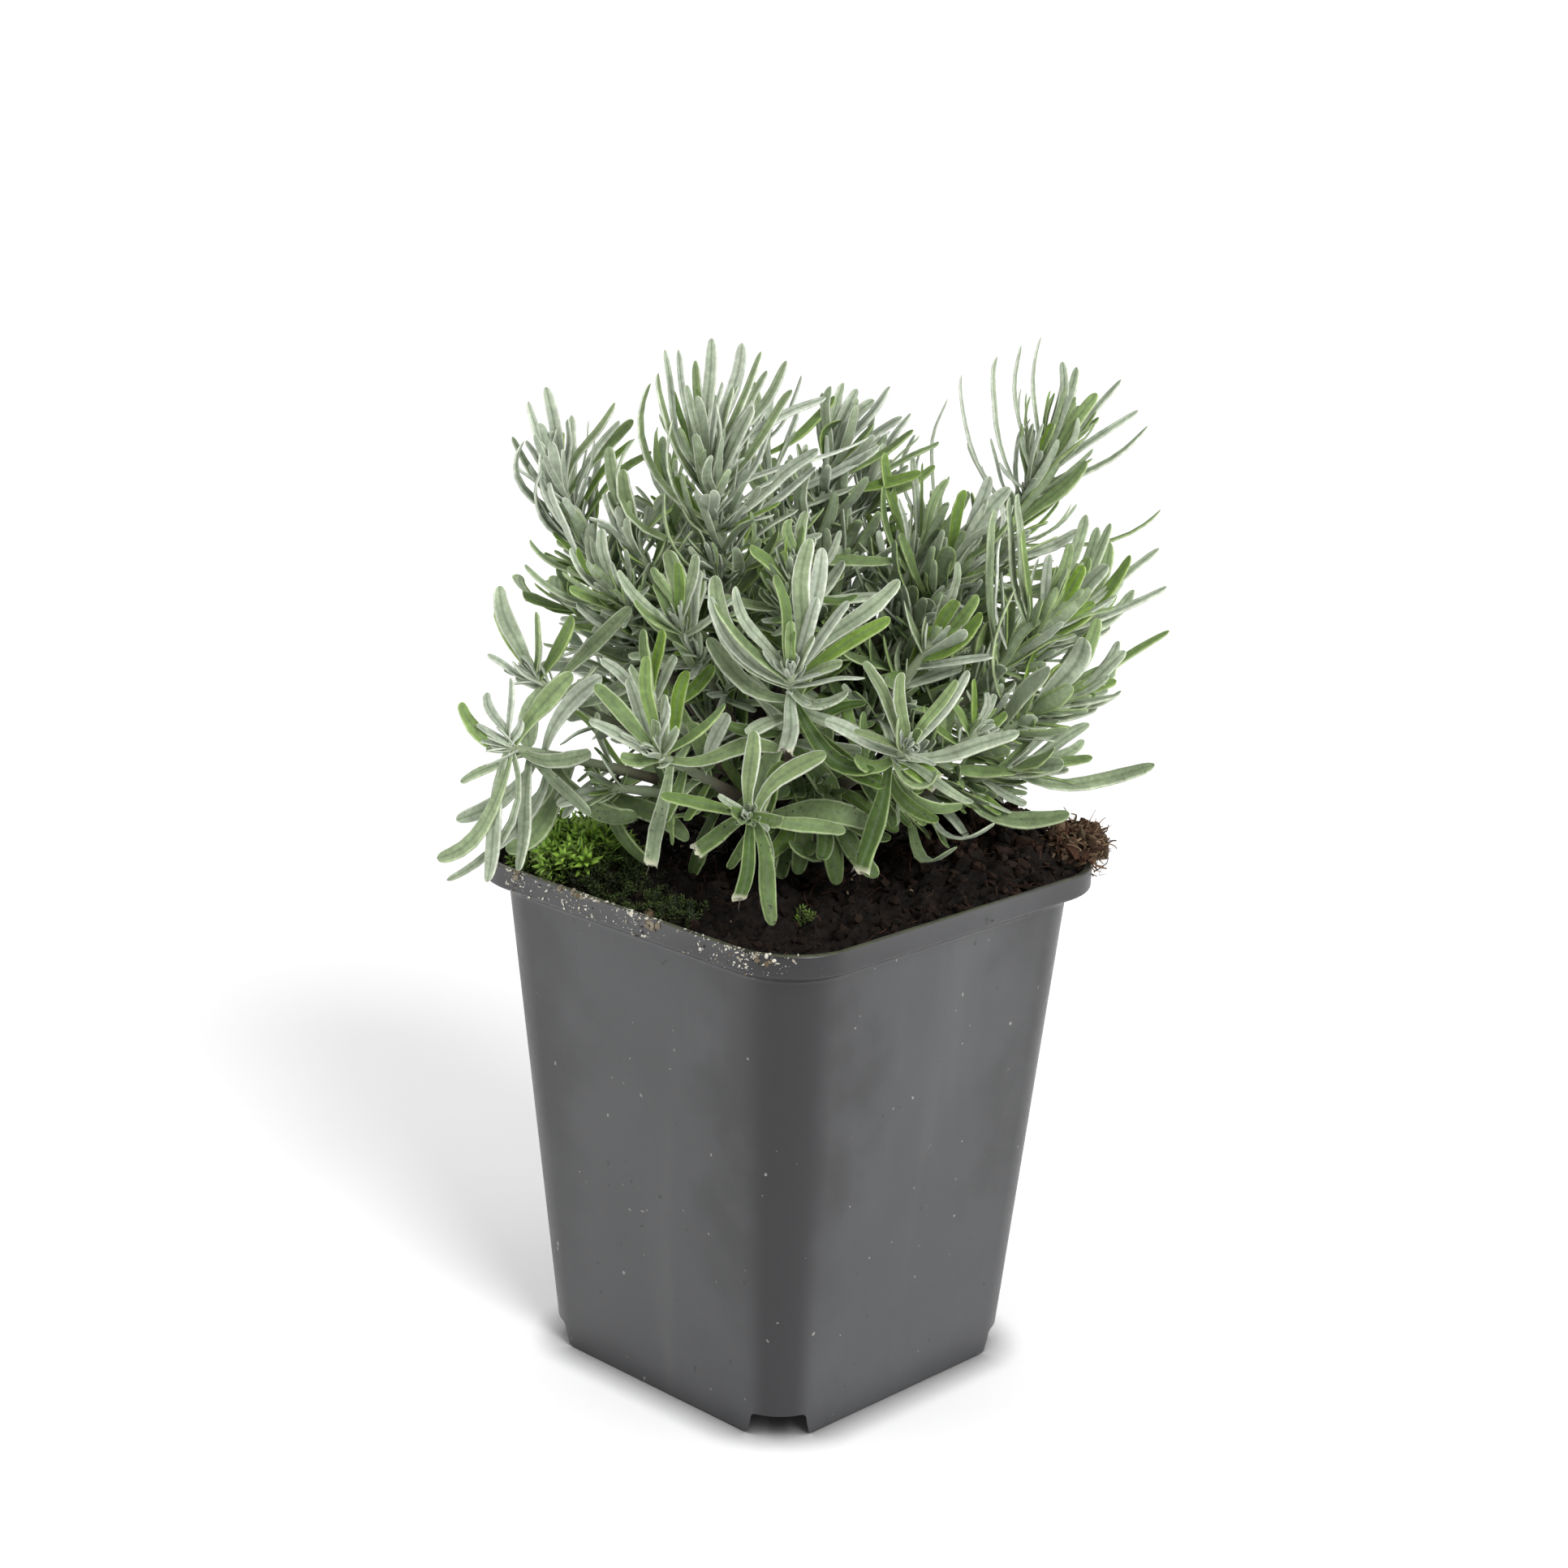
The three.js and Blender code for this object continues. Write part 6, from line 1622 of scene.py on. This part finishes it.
def leaf_spine(foot, aim, length, face, sway, bow, s, rng):
    """The blade's middle line at the stations s, with the directions across it and out of it."""
    start, axis, turn = aim
    theta = turn * s
    side = axis.cross(start)
    run = s if turn == 0 else np.sin(theta) / turn
    rise = 0 * s if turn == 0 else (1 - np.cos(theta)) / turn
    centre = np.array(foot) + np.outer(run * length, start) + np.outer(rise * length, side)
    along = np.outer(np.cos(theta), start) + np.outer(np.sin(theta), side)
    upper = turned_all(square_to(face, start), axis, theta)
    upper = upper - along * np.sum(upper * along, 1)[:, None]
    upper /= np.linalg.norm(upper, axis=1)[:, None]
    across = np.cross(along, upper)
    wave = np.sin(s * math.pi)
    drift = LEAF_DRIFT * rng.gauss(0, 1) * wave + LEAF_SWING * rng.gauss(0, 1) * np.sin(s * math.tau)
    dip = LEAF_DIP * rng.gauss(0, 1) * wave * s
    curl = LEAF_CURL * rng.gauss(0, 1) * smooth(0.5, 1, s) ** 2
    centre = centre + sway * length * (across * drift[:, None] + upper * (dip + curl)[:, None])
    centre = centre + np.outer(wave * bow * length, place(-1, 0, 0))
    twist = rng.gauss(0, LEAF_TWIST) * sway * s
    c, t = np.cos(twist)[:, None], np.sin(twist)[:, None]
    return centre, along, across * c + upper * t, upper * c - across * t


def leaf_half_widths(width, s, cut, rng):
    slender = 1 - float(np.interp(width, SLENDER_WIDTHS, (0, 1)))
    foot = between(BLADE_FOOT, slender)
    half = foot + (1 - foot) * smooth(0, BLADE_BELLY, s)
    if not cut:
        half = half * (1 - between(BLADE_TAPER, slender) * smooth(TAPER_FROM, TAPER_TO, s))
        end = (np.clip(s - BLUNT_FROM, 0, 1) / (1 - BLUNT_FROM)) ** 2
        half = half * np.sqrt(np.clip(1 - end, 0.03, 1))
    ragged = 1 + LEAF_RAGGED * np.array([rng.gauss(0, 1) for _ in s])
    return width / 2 * half * ragged


def add_leaf(piece, foot, aim, length, width, face, tone, rng, cut=False, detail=FULL, bow=0):
    section, s, sway = detail
    width *= between(WIDTH_KEPT, smooth(*WIDTH_KEPT_HEIGHTS, foot.z))
    centre, along, across, upper = leaf_spine(foot, aim, length, face, sway, bow, s, rng)
    half = leaf_half_widths(width, s, cut, rng)
    roll = float(np.interp(width, ROLL_WIDTHS, ROLLS)) * rng.uniform(*ROLL_SPREAD)
    shape_x = section[:, 0] * (1 - ROLL_NARROWER * roll)
    shape_y = section[:, 1] * (1 - roll) + section[:, 2] * roll
    fold = CUT_FOLD * smooth(0.8, 1, s) if cut else 0 * s
    shape_y = shape_y[None, :] - fold[:, None] * shape_x[None, :] ** 2
    points = centre[:, None, :] + half[:, None, None] * (
        shape_x[None, :, None] * across[:, None, :] + shape_y[:, :, None] * upper[:, None, :]
    )
    count = len(section)
    places = np.zeros((len(s), count, 3))
    places[:, :, 0] = section[:, 0]
    places[:, :, 1] = s[:, None]
    places[:, :, 2] = section[:, 3]
    tones = np.tile(np.array(tone, float), (len(s), count, 1))
    if cut:
        torn = np.array([[rng.gauss(0, spread) for spread in CUT_TORN] for _ in shape_x])
        points[-1] += along[-1] * torn[:, :1] + upper[-1] * torn[:, 1:]
        tones[:, :, 3] = smooth(CUT_BROWN_FROM, 1, s)[:, None]
    piece.add(points, ring_faces(len(s), count), 0, places.reshape(-1, 3), tones.reshape(-1, 4))


def leaf_tone(spot, rng, young=False):
    """What a leaf with its tip at the spot looks like: fresh, draw, age and cut, where age also carries
    painted shade.
    """
    x, z, aside = place_back(spot).x, spot.z, math.hypot(spot.x, spot.y)
    low = smooth(*OLD_HEIGHTS, z) * (1 - 0.4 * smooth(*YOUNG_LEFT, x))
    deep = smooth(*DEEP_REACH, aside) * smooth(*DEEP_HEIGHTS, z)
    right = smooth(*GREEN_RIGHT, x) * smooth(*GREEN_HEIGHTS, z)
    under = smooth(*UNDER_HEIGHTS, z) * smooth(*UNDER_REACH, aside)
    near = [math.exp(-((x - at) ** 2 + (z - high) ** 2) / (2 * r * r)) for at, high, r in FRESH_PLACES]
    chance = max(*near, 0.75 * deep, 0.42 * right, 0.9 * under)
    green = rng.random() < chance
    fresh = rng.uniform(0.6, 1) if green else chance * rng.uniform(0, 0.45)
    outer = smooth(*OUTER_RIGHT, x) + smooth(*OUTER_LEFT, x)
    # Age is real age low on the plant, and painted shade deep inside it and under the canopy
    age = min(1, max(low, 0.75 * deep, under) * rng.uniform(0.5, 1.25)) * (1 - 0.5 * outer)
    if young and z > PALE_CROWN_FROM:
        return (fresh * 0.3, rng.random() * 0.4, age * 0.2, 0)
    return (fresh, rng.random() * (1 - 0.4 * outer), age, 0)


def add_companions(piece, leaf, aim, length, lush, rng):
    """Narrower leaves beside a leaf, turned about the stem; `lush` is how many on average."""
    for _ in range(int(lush + rng.random())):
        spin = rng.choice((-1, 1)) * rng.uniform(*COMPANION_SPIN)
        turn = Quaternion(leaf.way, math.radians(spin))
        start = turn @ aim[0]
        start = (start + leaf.way * rng.uniform(-0.1, 0.35)).normalized()
        axis = square_to(turn @ aim[1], start)
        bend = aim[2] * rng.uniform(0.4, 1.2) + math.radians(rng.gauss(0, 8))
        foot = leaf.foot + leaf.way * rng.uniform(-1.6, 1.2)
        reach = min(length * rng.uniform(*COMPANION_LENGTHS), COMPANION_REACH)
        tone = leaf_tone(foot + start * reach, rng)
        width = leaf.width * rng.uniform(*COMPANION_WIDTHS)
        add_leaf(piece, foot, (start, axis, bend), reach, width, leaf.way, tone, rng, detail=PLAIN)


def add_axil(piece, leaf, aim, rng):
    """Up to two small leaves between a leaf and its stem."""
    for _ in range(rng.choice((0, 1, 1, 2))):
        way = (leaf.way * rng.uniform(0.7, 1.2) + aim[0] * rng.uniform(0.4, 1)).normalized()
        start = (way + square_to(scatter(rng), way) * rng.uniform(0, 0.35)).normalized()
        axis = start.cross(square_to(leaf.way, start)).normalized()
        length = rng.uniform(*AXIL_LENGTHS)
        tone = leaf_tone(leaf.foot, rng, True)
        small = (start, axis, math.radians(rng.uniform(0, 25)))
        width = rng.uniform(*AXIL_WIDTHS)
        add_leaf(piece, leaf.foot, small, length, width, leaf.way, tone, rng, detail=SMALL)


def arc_through(foot, middle, tip):
    """The aim and the length of the arc through three points."""
    chord = tip - foot
    ahead = chord.normalized()
    aside = middle - (foot + tip) / 2
    aside -= ahead * aside.dot(ahead)
    bulge = aside.normalized()
    turn = 4 * math.atan2(2 * aside.length, chord.length)
    start = ahead * math.cos(turn / 2) + bulge * math.sin(turn / 2)
    length = chord.length * (turn / 2) / math.sin(turn / 2)
    return (start, bulge.cross(ahead), turn), length


def add_singles(piece, shoot, rng):
    stem = Stem(shoot)
    for share, middle, tip, width, fresh in SINGLE_LEAVES.get(shoot.name, []):
        foot, way, _ = stem.seat(stem.green(share * CROWN_SEAT))
        aim, length = arc_through(foot, place(*middle), place(*tip))
        own, *rest = leaf_tone(place(*tip), rng)
        tone = (max(own * 0.5, fresh), *rest)
        add_leaf(piece, foot, aim, length, width, place(*FACING) + way, tone, rng)


def leaf_pairs(pairs, first, spread, rng):
    """Each leaf of some pairs, with its pair's number and its angle about the stem."""
    for pair in range(pairs):
        for opposite in (0, 180):
            yield pair, first + pair * PAIR_TURN + opposite + rng.gauss(0, spread)


def add_crown(piece, shoot, rng):
    """The small closed leaves at the end of a shoot, pair by pair and each pair smaller."""
    stem = Stem(shoot)
    _, way, across = stem.seat(1)
    for pair, azimuth in leaf_pairs(len(CROWN_LENGTHS), CROWN_TURN, 10, rng):
        length = CROWN_LENGTHS[pair] * rng.uniform(0.8, 1.15)
        opening = CROWN_OPENINGS[pair] + rng.gauss(0, 4)
        aim = grown_aim(way, across, azimuth, opening, -8 + rng.gauss(0, 8))
        foot = stem.at(CROWN_FOOT + CROWN_STEP * pair)
        tone = leaf_tone(foot + aim[0] * length, rng, True)
        add_leaf(piece, foot, aim, length, rng.uniform(*CROWN_WIDTHS), way, tone, rng, detail=SMALL)


def lushness(shoot):
    """Extra leaves for each leaf: few in the open front, most at the back of the top."""
    x, y, z = shoot.tip
    side = between((LUSH_FRONT, LUSH_SIDE), smooth(*LUSH_SIDE_DEPTHS, y))
    side *= 1 + LUSH_CROWN * smooth(*LUSH_CROWN_HEIGHTS, z)
    if z < OPEN_BELOW and (x < OPEN_LEFT or (z < OPEN_FRONT_BELOW and y < 0)):
        side = LUSH_FRONT
    right = LUSH_RIGHT * smooth(*LUSH_RIGHT_SIDE, x) * smooth(*LUSH_RIGHT_DEPTHS, y)
    right *= smooth(*LUSH_RIGHT_HEIGHTS, z)
    return max(side, right, LUSH_TOP * smooth(*LUSH_TOP_DEPTHS, y) * smooth(*LUSH_TOP_HEIGHTS, z))


def add_fillers(piece, shoot, seed, rng):
    """Broad green leaf pairs low on the stem, which close the inside of the plant."""
    stem = Stem(shoot)
    pairs = max(1, round(stem.green_length / FILL_STEP * min(1.5, 0.2 + lushness(shoot) * 0.55)))
    for pair, azimuth in leaf_pairs(pairs, seed * SHOOT_TURN + 45, 12, rng):
        share = FILL_FIRST + FILL_REACH * pair / pairs
        foot, way, across = stem.seat(stem.green(share))
        opening = between(FILL_OPENINGS, share) + rng.gauss(0, 8)
        aim = grown_aim(way, across, azimuth, opening, rng.uniform(-25, 10))
        length = between(FILL_LENGTHS, rng.random()) * (1 - 0.25 * share)
        own, *rest = leaf_tone(foot + aim[0] * length, rng)
        tone = (max(own, rng.uniform(0.2, 1)), *rest)
        add_leaf(piece, foot, aim, length, rng.uniform(*FILL_WIDTHS), way, tone, rng, detail=PLAIN)


def add_sprigs(piece, shoot, rng):
    """Short side shoots in the leaf axils, each a slim stem with pairs of narrow pale leaves."""
    stem = Stem(shoot)
    last = len(SPRIG_RADII) - 1
    for _ in range(round(stem.green_length / SPRIG_STEP * min(1.2, lushness(shoot) * 0.8))):
        foot, way, across = stem.seat(stem.green(rng.uniform(0.12, 0.85)))
        aim = grown_aim(way, across, rng.uniform(0, 360), rng.uniform(*SPRIG_OPENINGS), 0)
        ahead = (aim[0] + UP * 0.35).normalized()
        length = between(SPRIG_LENGTHS, rng.random())
        line = [foot + ahead * length * i / last for i in range(last + 1)]
        piece.add_tube(line, SPRIG_RADII, 5, 1, (0, rng.random(), 0.1, 0))
        aside = square_to(scatter(rng), ahead)
        for pair, azimuth in leaf_pairs(SPRIG_PAIRS, 0, 12, rng):
            share = pair / (SPRIG_PAIRS - 1)
            t = 0.3 + 0.7 * share
            opening = between(SPRIG_LEAF_OPENINGS, share) + rng.gauss(0, 6)
            leaf_aim = grown_aim(ahead, aside, azimuth, opening, rng.uniform(-22, 8))
            size = between(SPRIG_LEAF_LENGTHS, rng.random()) * (1 - 0.35 * t)
            root = foot + ahead * length * t
            tone = leaf_tone(root + leaf_aim[0] * size, rng, rng.random() < 0.6)
            width = rng.uniform(*SPRIG_LEAF_WIDTHS)
            add_leaf(piece, root, leaf_aim, size, width, ahead, tone, rng, detail=SMALL)


def solid_corners(node):
    corners = kdtree.KDTree(len(node.data.vertices))
    for i, vertex in enumerate(node.data.vertices):
        corners.insert(vertex.co / MM, i)
    corners.balance()
    return corners


def add_shoot(shoot, seed, materials, node):
    corners = solid_corners(node)
    rng = random.Random(seed * 101)
    withered = shoot in WITHERED
    piece = Piece()
    add_stem(piece, shoot, rng)
    for leaf in shoot_leaves(shoot, seed):
        found = settled(leaf, corners)
        if not found:
            continue
        aim, length = found
        tip = leaf.foot + aim[0] * length
        tone = leaf_tone(tip, rng)
        look = dict(cut=leaf.cut, bow=leaf.bow)
        add_leaf(piece, leaf.foot, aim, length, leaf.width, leaf_face(leaf), tone, rng, **look)
        if leaf.cut:
            way = scatter(rng, 0.3, 0.3, 0) - UP
            add_fibre(piece, tip, way, rng.uniform(1, 2.4), 0.1, 0.2, rng, (0, 0.5, 1, 0), slot=1)
        if not withered:
            add_axil(piece, leaf, aim, rng)
            add_companions(piece, leaf, aim, length, lushness(shoot), rng)
    if not withered:
        add_singles(piece, shoot, rng)
        add_crown(piece, shoot, rng)
        add_fillers(piece, shoot, seed, rng)
        add_sprigs(piece, shoot, rng)
    made = piece.finish(shoot.name.replace("shoot_", "leafy_") + "_dressed", materials)
    dress(made, shoot.name)


# Dried soil and lime on the pot's collar
def collar_spot(along, low):
    """A point on the collar's left-hand side and front corner, `low` millimetres below the rim."""
    straight = RIM_HALF - RIM_ROUND
    z = POT_HEIGHT - low
    if along <= straight:
        return Vector((along, -RIM_HALF, z))
    angle = (along - straight) / RIM_ROUND - math.pi / 2
    return Vector((straight + RIM_ROUND * math.cos(angle), RIM_ROUND * math.sin(angle) - straight, z))


def add_grit(material):
    rng = random.Random(47)
    grit = Piece()
    for _ in range(GRIT_GRAINS):
        along = rng.choice(GRIT_PLACES) + rng.gauss(0, GRIT_SPREAD)
        low = rng.random() ** 1.6 * COLLAR_HEIGHT
        if not GRIT_ENDS[0] < along < GRIT_ENDS[1]:
            continue
        size = between(GRIT_SIZES, rng.random() ** 3)
        pale = 1 if rng.random() < 0.6 else rng.random()
        tone = (pale, rng.random(), 1 if rng.random() < 0.12 else 0, 0)
        at = collar_spot(along, low)
        if rng.random() < 0.18:
            at = Vector((at.x * 0.99, at.y * 0.987, POT_HEIGHT))
        add_grain(grit, at, size, rng, tone, rng.uniform(1, 2.4))
    for along in LUMP_PLACES:
        at = collar_spot(along, rng.uniform(0.2, 1.6))
        for _ in range(LUMP_GRAINS):
            spot = at + scatter(rng, 0.8, 0, 0.5)
            spot.z = min(spot.z, POT_HEIGHT)
            add_grain(grit, spot, rng.uniform(*LUMP_SIZES), rng, (rng.uniform(0, 0.3), 0.5, 0, 0))
    dress(grit.finish("grit_on_rim", [material], CRUMB_SHARP), None)


def main():
    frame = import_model()
    add_camera()
    add_light()
    add_floor()
    add_pot(pot_material())
    add_soil(soil_material())
    add_moss(moss_material())
    add_wood(wood_material())
    green = [leaf_material(), stem_material()]
    dead = [withered_material()] * 2
    for seed, shoot in enumerate(SHOOTS + WITHERED, 1):
        materials = dead if shoot in WITHERED else green
        add_shoot(shoot, seed, materials, frame["nodes"][shoot.name])
    add_grit(grit_material())


main()
